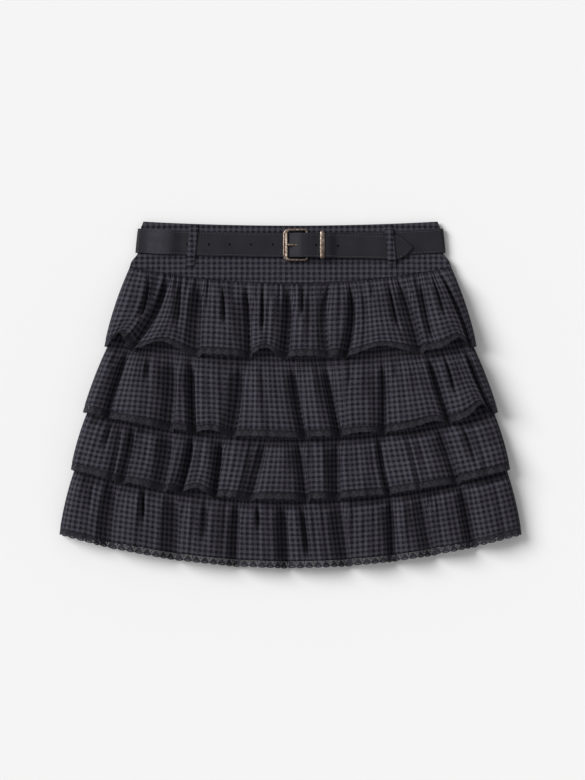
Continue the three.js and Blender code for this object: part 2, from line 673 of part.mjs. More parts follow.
// Buckle frame: a closed ring, wide and grooved on the left, with a plain round bar on the right
function buckleFrame() {
  const sections = 8;
  const leftCorner = 5;
  const rightCorner = 3;
  const path = [];
  const left = BUCKLE_LEFT_X;
  const right = BAR_X;
  const high = BUCKLE_HALF_HEIGHT;
  const side = { x: 1.6, z: 1.55, groove: 0 };
  const bar = { x: BAR_RADIUS, z: BAR_RADIUS, groove: 0 };
  const wide = { x: 3, z: 1.35, groove: 0.45 };
  const blend = (a, b, t) => ({
    x: mix(a.x, b.x, t),
    z: mix(a.z, b.z, t),
    groove: mix(a.groove, b.groove, t),
  });
  const addCorner = (corner, cx, cy, from, first, second) => {
    for (let i = 0; i <= 4; i += 1) {
      const angle = THREE.MathUtils.degToRad(from + (90 * i) / 4);
      path.push({
        x: cx + corner * Math.cos(angle),
        y: cy + corner * Math.sin(angle),
        angle,
        size: blend(first, second, i / 4),
      });
    }
  };
  addCorner(rightCorner, right - rightCorner, high - rightCorner, 0, bar, side);
  addCorner(leftCorner, left + leftCorner, high - leftCorner, 90, side, wide);
  addCorner(leftCorner, left + leftCorner, leftCorner - high, 180, wide, side);
  addCorner(rightCorner, right - rightCorner, rightCorner - high, 270, side, bar);
  const points = [];
  path.forEach((stop) => {
    const outward = new THREE.Vector3(Math.cos(stop.angle), Math.sin(stop.angle), 0);
    const z = mix(BUCKLE_LEFT_Z, BAR_Z, clamp((stop.x - left) / (right - left), 0, 1));
    for (let k = 0; k < sections; k += 1) {
      const turnAngle = (2 * Math.PI * k) / sections;
      const top = k === 2 ? -stop.size.groove : 0;
      const height = z + stop.size.z * Math.sin(turnAngle) + top;
      const point = new THREE.Vector3(stop.x, BUCKLE_Y + stop.y, height);
      points.push(point.addScaledVector(outward, stop.size.x * Math.cos(turnAngle)));
    }
  });
  const faces = [];
  const count = path.length;
  for (let j = 0; j < count; j += 1) {
    for (let k = 0; k < sections; k += 1) {
      const a = j * sections + k;
      const b = j * sections + ((k + 1) % sections);
      const c = ((j + 1) % count) * sections + ((k + 1) % sections);
      const d = ((j + 1) % count) * sections + k;
      faces.push(a, c, b, a, d, c);
    }
  }
  const geometry = new THREE.BufferGeometry();
  const values = points.flatMap((point) => point.toArray());
  geometry.setAttribute('position', new THREE.Float32BufferAttribute(values, 3));
  geometry.setIndex(faces);
  return geometry;
}

add('buckle_frame', buckleFrame(), 'metal');

// Prong: an eye round the bar and a shank that lies on the left bar
function eyeGeometry(inner, outer, width) {
  const ring = new THREE.Shape().absarc(0, 0, outer, 0, 2 * Math.PI);
  ring.holes.push(new THREE.Path().absarc(0, 0, inner, 0, 2 * Math.PI, true));
  const settings = { depth: width, bevelEnabled: false, curveSegments: 16 };
  const geometry = new THREE.ExtrudeGeometry(ring, settings);
  const basis = new THREE.Matrix4().makeBasis(
    new THREE.Vector3(1, 0, 0),
    new THREE.Vector3(0, 0, 1),
    new THREE.Vector3(0, -1, 0),
  );
  geometry.applyMatrix4(basis);
  geometry.translate(BAR_X, BUCKLE_Y + width / 2, BAR_Z);
  return geometry;
}

const eye = solid(eyeGeometry(BAR_RADIUS + 0.35, 2.8, 3));
const shank = solid(rod(PRONG_START, PRONG_END, PRONG_RADIUS, PRONG_RADIUS * 0.85, 10));
add('buckle_prong', geometryOf(eye.add(shank)), 'metal');

// Metal keeper that holds the pointed end down beside the buckle
function keeperGeometry() {
  const low = 162.3;
  const high = 196.1;
  const bottom = 6.75;
  const top = 15.9;
  const side = 1.4;
  const corner = 1.6;
  const outline = new THREE.Shape();
  outline.moveTo(low + corner, bottom);
  outline.lineTo(high - corner, bottom);
  outline.quadraticCurveTo(high, bottom, high, bottom + corner);
  outline.lineTo(high, top - corner);
  outline.quadraticCurveTo(high, top, high - corner, top);
  outline.lineTo(low + corner, top);
  outline.quadraticCurveTo(low, top, low, top - corner);
  outline.lineTo(low, bottom + corner);
  outline.quadraticCurveTo(low, bottom, low + corner, bottom);
  const room = new THREE.Path();
  room.moveTo(low + side, bottom + 1);
  room.lineTo(low + side, top - side);
  room.lineTo(high - side, top - side);
  room.lineTo(high - side, bottom + 1);
  room.lineTo(low + side, bottom + 1);
  outline.holes.push(room);
  const settings = { depth: KEEPER_WIDTH, bevelEnabled: false, curveSegments: 3 };
  const geometry = new THREE.ExtrudeGeometry(outline, settings);
  const basis = new THREE.Matrix4().makeBasis(
    new THREE.Vector3(0, 1, 0),
    new THREE.Vector3(0, 0, 1),
    new THREE.Vector3(1, 0, 0),
  );
  geometry.applyMatrix4(basis);
  geometry.translate(KEEPER_X, 0, 0);
  return geometry;
}

add('belt_keeper', geometryOf(solid(keeperGeometry())), 'metal');

// Belt loops: flat strips that step over the strap
table(LOOP_COLUMNS, LOOP_ROWS).forEach((loop) => {
  const front = loop.side > 0;
  const middleX = (loop.topX + loop.bottomX) / 2;
  const strapY = arc(BELT_Y, BELT_SAG, BELT_ARC_HALF, middleX);
  const lowerY = loop.strap > BELT_FRONT_Z + BELT_THICK ? overlayY(middleX) : strapY;
  const high = strapY + BELT_WIDTH / 2 + LOOP_STRAP_ROOM;
  const low = lowerY - BELT_WIDTH / 2 - LOOP_STRAP_ROOM;
  const waist = yokeY(middleX, 0) - 1.5;
  const end = LOOP_END_Y;
  const places = [waist, high + 2.2, high, (high + low) / 2, low, low - 2.6, end + 3, end];
  const step = (SEAM_GAP + CLOTH / 2) * loop.side;
  const surfaceAt = (y) => yokeHeight(middleX, y, front ? 'frontLow' : 'backLow') + (front ? CLOTH : 0);
  const line = places.map((y, i) => {
    const onStrap = i >= 2 && i <= 4;
    const knee = i === 5 && !front ? KNEE_ROOM : 0;
    return [-y, (onStrap ? loop.strap : surfaceAt(y)) + step - knee];
  });
  const sides = stripSides(line, CLOTH);
  const row = (point, i) => {
    const x = mix(loop.topX, loop.bottomX, (waist - places[i]) / (waist - end));
    return [-1, 1].map((edge) => new THREE.Vector3(x + (edge * LOOP_WIDTH) / 2, -point[0], point[1]));
  };
  const upper = sides.map((side, i) => row(side.outer, i));
  const lower = sides.map((side, i) => row(side.inner, i));
  add(loop.name, wall(upper, lower), front ? 'cloth' : 'back');
});

// The origin is on the ground, under the middle of the laid skirt
const box = new THREE.Box3().setFromObject(skirt);
const centre = box.getCenter(new THREE.Vector3());
skirt.position.set(-centre.x, -centre.y, -box.min.z);

export default skirt;
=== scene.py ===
# Tiered ruffle skirt with its own belt, laid flat with the front up.
# The helper functions work in millimetres in the skirt's own frame, and meshes are made in metres.

import math

import bmesh
import bpy
import numpy as np
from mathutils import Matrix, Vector


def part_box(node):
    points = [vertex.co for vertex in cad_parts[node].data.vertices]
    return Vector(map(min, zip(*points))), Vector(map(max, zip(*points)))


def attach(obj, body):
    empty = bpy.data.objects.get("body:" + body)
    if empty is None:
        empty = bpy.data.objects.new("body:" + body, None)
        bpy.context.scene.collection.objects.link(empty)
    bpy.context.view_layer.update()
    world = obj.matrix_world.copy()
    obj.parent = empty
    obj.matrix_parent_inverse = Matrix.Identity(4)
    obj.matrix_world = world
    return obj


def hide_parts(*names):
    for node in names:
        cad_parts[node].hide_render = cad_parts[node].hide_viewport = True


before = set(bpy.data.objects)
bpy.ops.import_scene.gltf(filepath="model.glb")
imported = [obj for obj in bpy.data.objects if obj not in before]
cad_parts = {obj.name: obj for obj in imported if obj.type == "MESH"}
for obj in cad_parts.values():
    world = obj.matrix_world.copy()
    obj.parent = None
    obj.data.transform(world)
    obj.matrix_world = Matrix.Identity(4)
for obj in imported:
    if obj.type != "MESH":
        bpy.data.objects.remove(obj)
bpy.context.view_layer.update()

MM = 0.001

# The waist, and where the skirt's own frame lies on the CAD frame
WAIST_Y = 202.8
WAIST_SAG = 4.8
WAIST_HALF = 176.0
waist_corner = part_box("yoke_front")[1].y / MM
ORIGIN_Y = waist_corner - (WAIST_Y + WAIST_SAG)

# Thickness of the layers and small clearances
CLOTH = 0.8
CAD_CLOTH = 1.2
# The wall is offset straight down in the small puckers under a seam, away from the rolled sides
PUCKER_ZONE = (0.25, 0.5)
SIDE_ZONE = (9.0, 20.0)
LACE = 0.5
LOWEST = 0.02
SEAM_GAP = 0.3
LACE_DEPTH = 9.0
SIDE_BULGE = 3.0
SIDE_ROLL = 8.0

# Heights of the layers above the ground, back to front
BACK_SEAM_ZONE = 4.75
BACK_SIDE = 8.1
BASE_BACK = 7.1
BASE_FRONT = 8.4
BASE_CLOTH = 1.0
FRONT_SIDE = 8.4
FRONT_TROUGH = 10.95
FRONT_TROUGH_OVER_SEAM = 14.5
HEM_SIDE_FRONT = 5.0
HEM_TROUGH = 6.8
SEAM_GATHER = 2.0
TOP_TIER_GATHER = 2.5
DRIFT = 0.55
FINE_GATHERS = (2.7, 1.5)
BACK_SEAM_GATHER = 0.8
BACK_GROOVE = 3.2
BACK_FLAT_ABOVE = 0.55
BACK_HEM_SHORTER = 12.0
FRONT_CROWN = 0.45
PEAK = 0.42
VALLEY_WIDTH = 0.8
VALLEY_AT_SEAM = 0.45
VALLEY_OPEN_BY = 0.55
VALLEY_STARTS = -1.0
VALLEY_BOTTOM = 0.2
VALLEY_ENDS = (0.4, 0.85)
FOLD_FADE = (-0.15, 0.1)
LEFT_SKEW = 0.4
OVERHANG = 0.24
OVERHANG_WIDTH = 0.25
HEM_LEVEL = 0.6
HEM_LIFT = 4.5
LAST_HEM_LIFT = 2.0
FRONT_LOWEST = 6.6
PUCKER_SPACING = 8.6
PUCKER_RISE = 1.6
PUCKER_DEPTH = 3.6
PUCKER_LOWEST = 10.3
BACK_CROWN = 0.25
GATHER_WAVES = (31, 22, 16.5, 12.3, 9.1)
MIDDLE_WAVE = 22

# Rows between which the last tier's trough and side sink, the puckers fade and fine gathers calm down
HEM_TROUGH_ROWS = (0.25, 0.9)
HEM_SIDE_ROWS = (0.3, 1)
PUCKER_ROWS = (0.03, 0.32)
CALM_ROWS = (0.15, 0.85)

# Rows of a tier, from 0 at its seam to 1 at its edge, along which the cloth and the lace are measured
MEASURED_ROW = 0.8
EDGE_ROW = 0.97
MEASURED_POINTS = 6001

# Columns and rows of the meshes, the width of a lace cell, and a quad's corners turned over
SIDES = ("front", "back")
CLOTH_GRIDS = {"front": (500, 34), "back": (300, 20)}
LACE_CELLS = {"front": 0.53, "back": 0.9}
YOKE_GRID = (30, 170)
BASE_GRID = (12, 50)
LOOP_GRID = (90, 15)
STITCH_GRID = (5, 6)
TURNED_OVER = [0, 3, 2, 1]
SHARP_ANGLE = math.radians(42)

# Photo frame: the camera looks straight down on a field of this height
FIELD_HEIGHT = 936.0
LENS = 100.0
SENSOR = 36.0
LOOK_AT = (2.4, 6.0)

# Tiers from the top: curves of seam and edge, wave height, where waves grow and climb, first curl
TIER_COLUMNS = (
    "seam_y", "seam_sag", "seam_half", "edge_y", "edge_sag", "edge_half",
    "waves", "grow_from", "grow_to", "climb_from", "climb_to", "left_rise",
)
TIER_ROWS = (
    (132.9, 19.2, 192.6, 44, 13.6, 223, 14.5, 0, 0.24, 0.5, 0.7, 17),
    (61.2, 19, 208, -52, 31, 248.7, 15.5, 0.23, 0.37, 0.6, 0.8, 0),
    (-34.8, 31, 236, -126, 36.6, 263, 15.5, 0.23, 0.37, 0.56, 0.76, 0),
    (-109, 37, 252, -207, 40, 277, 16, 0.21, 0.35, 2, 3, 0),
)

# Folds of each front tier, left to right: where they run across at the top, half-way and the hem,
# how wide and deep the valley is, how far down it runs, how much the hem to its right curls up,
# and how far to the right the highest place of that curl lies.
FOLD_COLUMNS = ("top", "middle", "hem", "width", "depth", "reach", "rise", "skew")
FRONT_FOLDS = (
    (
        (-169, -176, -200, 6, 0.8, 0.6), (-147, -161, -192, 11, 0.9, 1, 11),
        (-131, -135, -142, 8, 0.5, 0.65), (-109, -113, -115, 18, 0.9, 1),
        (-82, -80, -82, 6, 0.6, 0.55), (-69, -68, -65, 4, 0.4, 0.2),
        (-55, -52, -51, 12, 1, 1, 10), (-41, -41, -41, 4, 0.5, 0.2),
        (-33, -34, -35, 6, 0.55, 0.65), (-21, -23, -25, 4, 0.4, 0.2),
        (-5, -4, -9, 14, 1, 1), (14, 13, 11, 5, 0.5, 0.4),
        (26, 27, 27, 4, 0.4, 0.2), (45, 39, 45, 10, 0.6, 1),
        (69, 73, 63, 10, 0.95, 1, 9), (95, 99, 103, 5, 0.5, 0.2),
        (116, 124, 136, 7, 0.7, 0.65), (127, 141, 153, 14, 1, 1, 12, 1.6),
        (153, 160, 172, 8, 0.6, 0.85), (167, 181, 194, 6, 0.5, 0.55),
        (176, 200, 215, 6, 0.9, 1),
    ),
    (
        (-195, -217, -233, 6, 0.4, 0.4), (-184, -205, -220, 8, 0.75, 1),
        (-167, -172, -176, 7, 0.55, 0.5), (-145, -143, -148, 20, 1, 1),
        (-119, -118, -116, 10, 0.95, 1, 4), (-101, -101, -100, 5, 0.5, 0.25),
        (-85, -83, -82, 5, 0.4, 0.2), (-63, -63, -73, 17, 0.95, 1),
        (-25, -22, -17, 6, 0.4, 0.25), (-2, 5, 16, 12, 1, 1),
        (16, 20, 26, 5, 0.4, 0.2), (35, 46, 58, 11, 1, 1, 2),
        (56, 61, 65, 5, 0.4, 0.25), (76, 69, 72, 5, 0.4, 0.4),
        (107, 110, 110, 10, 0.95, 1, 5, 1.6), (121, 125, 129, 6, 0.6, 0.4),
        (155, 172, 189, 8, 1, 1, 14, 1.3), (172, 190, 201, 7, 0.6, 0.7),
        (199, 219, 241, 6, 0.9, 1),
    ),
    (
        (-207, -221, -233, 8, 0.4, 0.6), (-200, -206, -215, 7, 0.3, 1),
        (-187, -191, -202, 10, 0.75, 1), (-146, -148, -157, 19, 0.85, 1),
        (-118, -121, -133, 10, 0.95, 1, 7), (-82, -86, -92, 10, 1, 1),
        (-27, -38, -51, 16, 0.8, 1), (2, 11, 16, 16, 1, 1),
        (32, 33, 34, 5, 0.4, 0.25), (53, 53, 53, 16, 1, 1),
        (103, 107, 117, 8, 0.85, 1), (131, 143, 153, 6, 0.2, 1),
        (167, 183, 197, 14, 1, 1), (194, 212, 223, 10, 0.45, 0.8),
    ),
    (
        (-232, -240, -246, 10, 0.25, 0.6), (-206, -217, -221, 18, 0.75, 1),
        (-175, -177, -181, 7, 0.7, 0.55), (-140, -141, -143, 19, 0.9, 1),
        (-99, -103, -107, 10, 0.5, 0.7), (-64, -67, -69, 16, 1, 1),
        (-40, -39, -38, 7, 0.6, 0.5), (-11, -9, -7, 14, 1, 1),
        (11, 16, 21, 7, 0.6, 0.85), (52, 58, 65, 18, 0.95, 1),
        (85, 86, 86, 5, 0.4, 0.2), (116, 119, 121, 12, 1, 1),
        (149, 157, 167, 17, 0.8, 1), (164, 169, 177, 7, 0.5, 0.4),
        (197, 207, 217, 14, 1, 1),
    ),
)

# Yoke sections from the waist down: place, half width, lowest height of the front and of the back
YOKE_ROWS = (
    (0, 176, 5.25, 3.7),
    (0.15, 179.6, 5.25, 3.7),
    (0.45, 181.4, 5.25, 3.7),
    (0.68, 182.6, 5.25, 3.7),
    (0.85, 190.2, 7.2, 5.9),
    (1, 192.6, 8.4, 6.9),
)

# Yoke seam, and the plain base under the ruffles
YOKE_SEAM_Y = 133.2
YOKE_SEAM_SAG = 19.2
YOKE_SEAM_HALF = 193.0
YOKE_EASE = 0.05
YOKE_UNEVEN = 0.12
BASE_TOP_HALF = 184.5
BASE_HEM_HALF = 232.0

# Belt loops: name, place across at top and bottom, side, and lowest height where it crosses the strap
LOOP_ROWS = (
    ("belt_loop_front_left", -115.0, -120.3, 1, 8.6),
    ("belt_loop_front_right", 117.0, 122.0, 1, 10.75),
    ("belt_loop_back_left", -113.4, -118.0, -1, 1.55),
    ("belt_loop_back_centre", 0.0, 0.0, -1, 1.55),
    ("belt_loop_back_right", 113.4, 118.0, -1, 1.55),
)
LOOP_WIDTH = 10.0
LOOP_ROOM = 0.7
LOOP_BELOW_WAIST = 1.5
LOOP_END_Y = 153.6
LOOP_TACK = 3.0
LOOP_SLOPES = (2.2, 2.6)
LOOP_CROWN = 0.45
LOOP_SUNK = 0.2
LOOP_SEAM = (0.25, 0.62, 0.07)

# Belt strap
BELT_WIDTH = 29.0
BELT_THICK = 1.8
BELT_Y = 179.4
BELT_SAG = 5.4
BELT_END_X = 181.0
BELT_ARC_HALF = 184.0
BELT_LAYER_GAP = 0.35
BELT_FRONT_Z = 7.7
BELT_BACK_Z = 2.45
BELT_FLARE = 0.00056
BELT_TIP_DROP = 3.0
BELT_TIP_X = 146.0
BELT_ROUNDING = 0.5
BELT_CROWN = 0.08
UNDER_STEP = 2.2
OVER_STEP = 1.4
# How far in from the strap's edge, and how high there
BELT_EDGE = (
    (0, -0.5), (0.25, -0.12), (0.8, 0), (1.7, 0), (2.0, -0.4),
    (2.6, -0.4), (2.9, 0), (4.2, 0.02), (9.0, 0.06),
)
# Places along the strap's point, and half its width there
TIP_ROWS = (
    (127, 14.5), (129, 14.3), (132, 13), (135, 11), (138, 8.8),
    (141, 6.4), (143.5, 4.2), (145, 2.6), (146, 0.6),
)
STITCH_RADIUS = 0.32
STITCH_LENGTH = 2.4
STITCH_GAP = 1.2
STITCH_INSET = 2.3
STITCH_SUNK = 0.3
STITCHED = slice(12, -4)

# Buckle, prong and keeper
BAR_X = 19.5
BAR_Z = 10.15
BAR_RADIUS = 1.2
WRAP_RADIUS = 2.45
HOLE_RADIUS = 1.5
HOLE_Y = 180.0
HOLE_LOW = 6
HOLE_DEPTH = 4
HOLES_SINGLE = (-123, -97.4, -72.8, -47.4, -21)
HOLES_OVERLAY = ((31, 12.2), (57, 8.8))
BUCKLE_Y = 179.5
BUCKLE_LEFT_X = -6.0
BUCKLE_LEFT_Z = 10.25
BUCKLE_HALF_HEIGHT = 17.9
FRAME_CORNERS = (3.0, 5.0)
# Half width, half height and depth of the groove of the frame
FRAME_BAR = (BAR_RADIUS, BAR_RADIUS, 0.0)
FRAME_SIDE = (1.4, 1.45, 0.0)
FRAME_WIDE = (3.0, 1.35, 0.95)
PRONG_START = (17.4, BUCKLE_Y, 12.0)
PRONG_END = (-6.0, BUCKLE_Y, 12.9)
PRONG_ROOM = 1.6
EYE_RADIUS = 2.15
EYE_ARC = (130, -215)
EYE_SIZE = (1.35, 0.6)
SLOT_REACH = 2.2
# Share of the prong's shank, half its width and half its height there
SHANK_ROWS = (
    (0, 1.2, 0.9), (0.3, 1.2, 0.95), (0.75, 1.2, 0.95), (0.86, 1.35, 0.95),
    (0.93, 1.4, 0.95), (0.98, 1.1, 0.8), (1.0, 0.5, 0.4),
)
KEEPER_X = 38.0
# The keeper's lower and upper place across, and its bottom and top
KEEPER_BOX = (162.3, 196.1, 6.75, 15.9)
KEEPER_CORNER = 2.2
KEEPER_SWELL = 0.14
# Across and outward places of the keeper's section, its face first
KEEPER_PROFILE = (
    (-2.75, -0.95), (-2.6, -0.4), (-1.9, -0.08), (-0.9, 0.04), (0, 0.08), (0.9, 0.04),
    (1.9, -0.08), (2.6, -0.4), (2.75, -0.95), (2.6, -1.05), (0, -1.1), (-2.6, -1.05),
)

# One repeat of the lace edging as a chart: # is thread and . is a hole
LACE_CHART = (
    "####################",
    "#..#..#..##..#..#..#",
    "#..#..#..##..#..#..#",
    "####################",
    "#..#..########..#..#",
    "#..#..########..#..#",
    "####################",
    "#..##############..#",
    "#..##############..#",
    "####################",
    ".##################.",
    ".######..##..######.",
    "####################",
    "####################",
)
LACE_REPEAT = 10.6
LACE_STRAIGHT_ROWS = 5
LACE_VALLEY = 6.9
LACE_LIP = 1.8
LACE_TUCK = 1.0

# The check: width of a warp and of a weft thread, and threads in a repeat
WARP_THREAD = 0.415
WEFT_THREAD = 0.388
CHECK_THREADS = 16.0

# Colours: the check's light and dark threads, then a dark and a light one for each other thread
LIGHT_THREAD = (0.055, 0.0512, 0.064)
DARK_THREAD = (0.0068, 0.0064, 0.0098)
BASE_COLOURS = ((0.012, 0.0114, 0.0144), (0.02, 0.019, 0.024))
LACE_COLOURS = ((0.0119, 0.0112, 0.01435), (0.034, 0.032, 0.041))
THREAD_COLOURS = ((0.03, 0.03, 0.036), (0.1, 0.098, 0.112))
LEATHER_STOPS = (
    (0, (0.005, 0.0048, 0.0072)), (0.5, (0.0125, 0.0115, 0.018)), (1, (0.033, 0.031, 0.041)),
)
METAL_STOPS = (
    (0.36, (0.09, 0.054, 0.042)), (0.5, (0.22, 0.17, 0.138)), (0.68, (0.42, 0.36, 0.305)),
)
# Where the left end of the strap gets its painted sheen, a lighter base colour where the strap bends
# round, in metres: the sheen starts and is full
PAINTED_SHEEN_INNER = (-0.134, -0.158)
PAINTED_SHEEN_OUTER = (-0.181, -0.166)

# Light and ground
SKY_STRENGTH = 0.45
SUN_FROM = (-1.7, 0.95, 1.45)
SUN_SPREAD = 34
SUN_STRENGTH = 3.63
GROUND_REACH = 6.0


# Small helpers

def mix(a, b, t):
    return a + (b - a) * t


def smooth(low, high, value):
    t = np.clip((value - low) / (high - low), 0, 1)
    return t * t * (3 - 2 * t)


def arc(centre, sag, half, x):
    return centre + sag * (x / half) ** 2


def table(columns, rows):
    padded = [tuple(row) + (0,) * (len(columns) - len(row)) for row in rows]
    return [dict(zip(columns, row)) for row in padded]


def unit(vectors):
    return vectors / np.maximum(np.linalg.norm(vectors, axis=-1, keepdims=True), 1e-9)


def together(*parts):
    """Arrays side by side, as the coordinates of points."""
    return np.stack(np.broadcast_arrays(*parts), axis=-1)


def run_along(points):
    """Length of a line from its first point to each point."""
    return np.concatenate(([0], np.cumsum(np.linalg.norm(np.diff(points, axis=0), axis=1))))


# Surfaces of the gathered tiers

TIERS = table(TIER_COLUMNS, TIER_ROWS)


def large_folds(folds):
    return [f for f in folds if f["reach"] == 1 and f["depth"] > 0.3]


class Ruffle:
    """One gathered tier: q counts the folds from the left side, v runs from seam to edge."""

    def __init__(self, tier, folds, left_rise, crown, hem_lift):
        self.tier = tier
        self.folds = folds
        self.left_rise = left_rise
        self.crown = crown
        self.hem_lift = hem_lift
        self.majors = large_folds(folds)
        self.last = len(folds) + 1

    def half(self, v):
        tier = self.tier
        return mix(tier["seam_half"], tier["edge_half"], v) + SIDE_BULGE * 4 * v * (1 - v)

    def place(self, fold, v):
        return (
            fold["top"] * (1 - v) * (1 - 2 * v)
            + fold["middle"] * 4 * v * (1 - v)
            + fold["hem"] * v * (2 * v - 1)
        )

    def valley(self, fold, v):
        return fold["width"] * VALLEY_WIDTH * mix(VALLEY_AT_SEAM, 1, smooth(0, VALLEY_OPEN_BY, v))

    def reach(self, fold, v):
        if fold["reach"] == 1:
            return np.ones_like(v)
        return 1 - smooth(*FOLD_FADE, v - fold["reach"])

    def stops(self, folds, v):
        return [-self.half(v), *[self.place(f, v) for f in folds], self.half(v)]

    def across(self, q, v):
        stops = np.stack(self.stops(self.folds, v))
        index = np.clip(np.floor(q).astype(int), 0, self.last - 1)
        low = np.take_along_axis(stops, index[None], 0)[0]
        high = np.take_along_axis(stops, index[None] + 1, 0)[0]
        return mix(low, high, q - index)

    def seam_x(self, q):
        return self.across(q, 0 * q)

    def seam_y(self, q):
        tier = self.tier
        return arc(tier["seam_y"], tier["seam_sag"], tier["seam_half"], self.seam_x(q))

    def length(self, q):
        tier = self.tier
        edge = arc(tier["edge_y"], tier["edge_sag"], tier["edge_half"], self.across(q, 0 * q + 1))
        return self.seam_y(q) - edge

    def sample(self, q, v):
        """Place, height of the wave from 0 to 1, and rounding at the side, for arrays q and v."""
        x = self.across(q, v)
        stops = self.stops(self.majors, v)
        f = np.zeros_like(x)
        rise = np.zeros_like(x)
        curls = [(self.left_rise, LEFT_SKEW), *[(m["rise"], m["skew"]) for m in self.majors]]
        for low, high, (lift, skew) in zip(stops[:-1], stops[1:], curls):
            inside = (x >= low) & (x <= high)
            f = np.where(inside, (x - low) / (high - low), f)
            curl = np.sin(np.pi * np.clip(f, 0, 1) ** (1 + skew)) ** 2
            rise = np.where(inside, lift * curl, rise)
        f = np.clip(f, 0, 1)
        from_peak = np.where(f < PEAK, (PEAK - f) / PEAK, (f - PEAK) / (1 - PEAK))
        crest = 1 - self.crown * from_peak**2
        shift = np.zeros_like(x)
        for fold in self.folds:
            width = self.valley(fold, v)
            t = (x - self.place(fold, v)) / width
            strength = fold["depth"] * self.reach(fold, v)
            slope = np.clip((t - VALLEY_STARTS) / (VALLEY_BOTTOM - VALLEY_STARTS), 0, 1) ** 1.5
            crest = crest * (1 - strength * slope * (1 - smooth(*VALLEY_ENDS, t)))
            lean = np.exp(-(((t - VALLEY_ENDS[1]) / OVERHANG_WIDTH) ** 2))
            shift = shift - OVERHANG * width * lean * strength
        e = np.clip((self.half(v) - np.abs(x)) / SIDE_ROLL, 0, 1)
        y = self.seam_y(q) - self.length(q) * v + rise * v**4
        y = y + self.hem_lift * (crest - HEM_LEVEL) * e * v**3
        return x + shift * e, y, crest, np.sqrt(1 - (1 - e) ** 2)


def uneven(x, y, seed):
    """Soft uneven waves from -1 to 1, the same on every run."""
    random = np.random.default_rng(seed)
    total = np.zeros_like(x)
    for _ in range(7):
        wave_x, wave_y = random.uniform(22, 70), random.uniform(45, 160)
        turn_x, turn_y = random.uniform(0, 2 * math.pi, 2)
        total += np.sin(2 * math.pi * x / wave_x + turn_x + np.sin(2 * math.pi * y / wave_y + turn_y))
    return total / 3.5


def gathers(ruffle, q, v, number):
    """Finer folds that run down with the large ones, strongest under the seam."""
    random = np.random.default_rng(40 + number)
    x = ruffle.seam_x(q)
    total = np.zeros_like(x)
    for wave in GATHER_WAVES:
        sway, turn_x, turn_v = random.uniform(0.5, 1.2), *random.uniform(0, 2 * math.pi, 2)
        size = (wave / MIDDLE_WAVE) ** 0.6
        total += size * np.sin(2 * math.pi * x / wave + turn_x + sway * np.sin(4.5 * v + turn_v))
    return total / 3


def front_height(ruffle, number, q, v):
    tier = ruffle.tier
    x, y, crest, rolled = ruffle.sample(q, v)
    start = TOP_TIER_GATHER if number == 1 else SEAM_GATHER
    grown = smooth(tier["grow_from"], tier["grow_to"], v)
    swell = mix(start, tier["waves"], grown)
    if number == len(TIERS):
        trough = mix(FRONT_TROUGH, HEM_TROUGH, smooth(*HEM_TROUGH_ROWS, v))
        side = mix(FRONT_SIDE, HEM_SIDE_FRONT, smooth(*HEM_SIDE_ROWS, v))
    else:
        climb = smooth(tier["climb_from"], tier["climb_to"], v)
        trough = mix(FRONT_TROUGH, FRONT_TROUGH_OVER_SEAM, climb)
        side = FRONT_SIDE
    drift = DRIFT * uneven(x, y, 10 + number) * grown
    fine = gathers(ruffle, q, v, number) * mix(*FINE_GATHERS, smooth(*CALM_ROWS, v))
    open_from = tier["grow_from"] * 0.8
    z = trough + swell * crest + (drift + fine * smooth(open_from, open_from + 0.1, v)) * crest
    if number == 1:
        z = z + pucker(ruffle, q, v) * (1 - smooth(*PUCKER_ROWS, v))
        z = np.maximum(z, PUCKER_LOWEST)
    z = np.maximum(z, FRONT_LOWEST)
    return x, y, side + (z - side) * rolled


def pucker(ruffle, q, v):
    """Small gathers that fan out from the stitched seam."""
    x = ruffle.seam_x(q)
    sway = 1.5 * np.sin(x / 19.0) + 0.9 * np.sin(x / 7.1 + 1.0) + 0.8 * v
    size = 0.7 + 0.4 * np.sin(x / 23.0 + 0.6)
    groove = 1 - np.abs(np.sin(x / PUCKER_SPACING * math.pi + sway)) ** 0.65
    return PUCKER_RISE * size * smooth(0, 0.06, v) - PUCKER_DEPTH * size * groove


def back_height(ruffle, number, q, v):
    tier = ruffle.tier
    x, y, crest, rolled = ruffle.sample(q, v)
    down = smooth(tier["grow_from"], tier["grow_from"] + 0.18, v)
    hollow = np.clip(1 - crest / BACK_FLAT_ABOVE, 0, 1)
    groove = mix(BACK_SEAM_GATHER, BACK_GROOVE, down) * hollow
    z = mix(BACK_SEAM_ZONE, 0, down) + groove
    side = BACK_SIDE
    if number == len(TIERS):
        side = mix(BACK_SIDE, HEM_SIDE_FRONT - SEAM_GAP, smooth(*HEM_SIDE_ROWS, v))
        shorter = BACK_HEM_SHORTER * (1 - (x / tier["edge_half"]) ** 2) * v
        y = y + np.maximum(0, shorter)
    return x, y, side - (side - z) * rolled


def back_folds(number):
    """The back repeats the large folds of another tier, turned over."""
    other = number % len(TIERS)
    top = TIERS[number - 1]["seam_half"] / TIERS[other]["seam_half"]
    hem = TIERS[number - 1]["edge_half"] / TIERS[other]["edge_half"]
    large = large_folds(table(FOLD_COLUMNS, FRONT_FOLDS[other]))
    return [
        {
            **f,
            "top": -f["top"] * top,
            "middle": -f["middle"] * (top + hem) / 2,
            "hem": -f["hem"] * hem,
            "rise": 0,
        }
        for f in reversed(large)
    ]


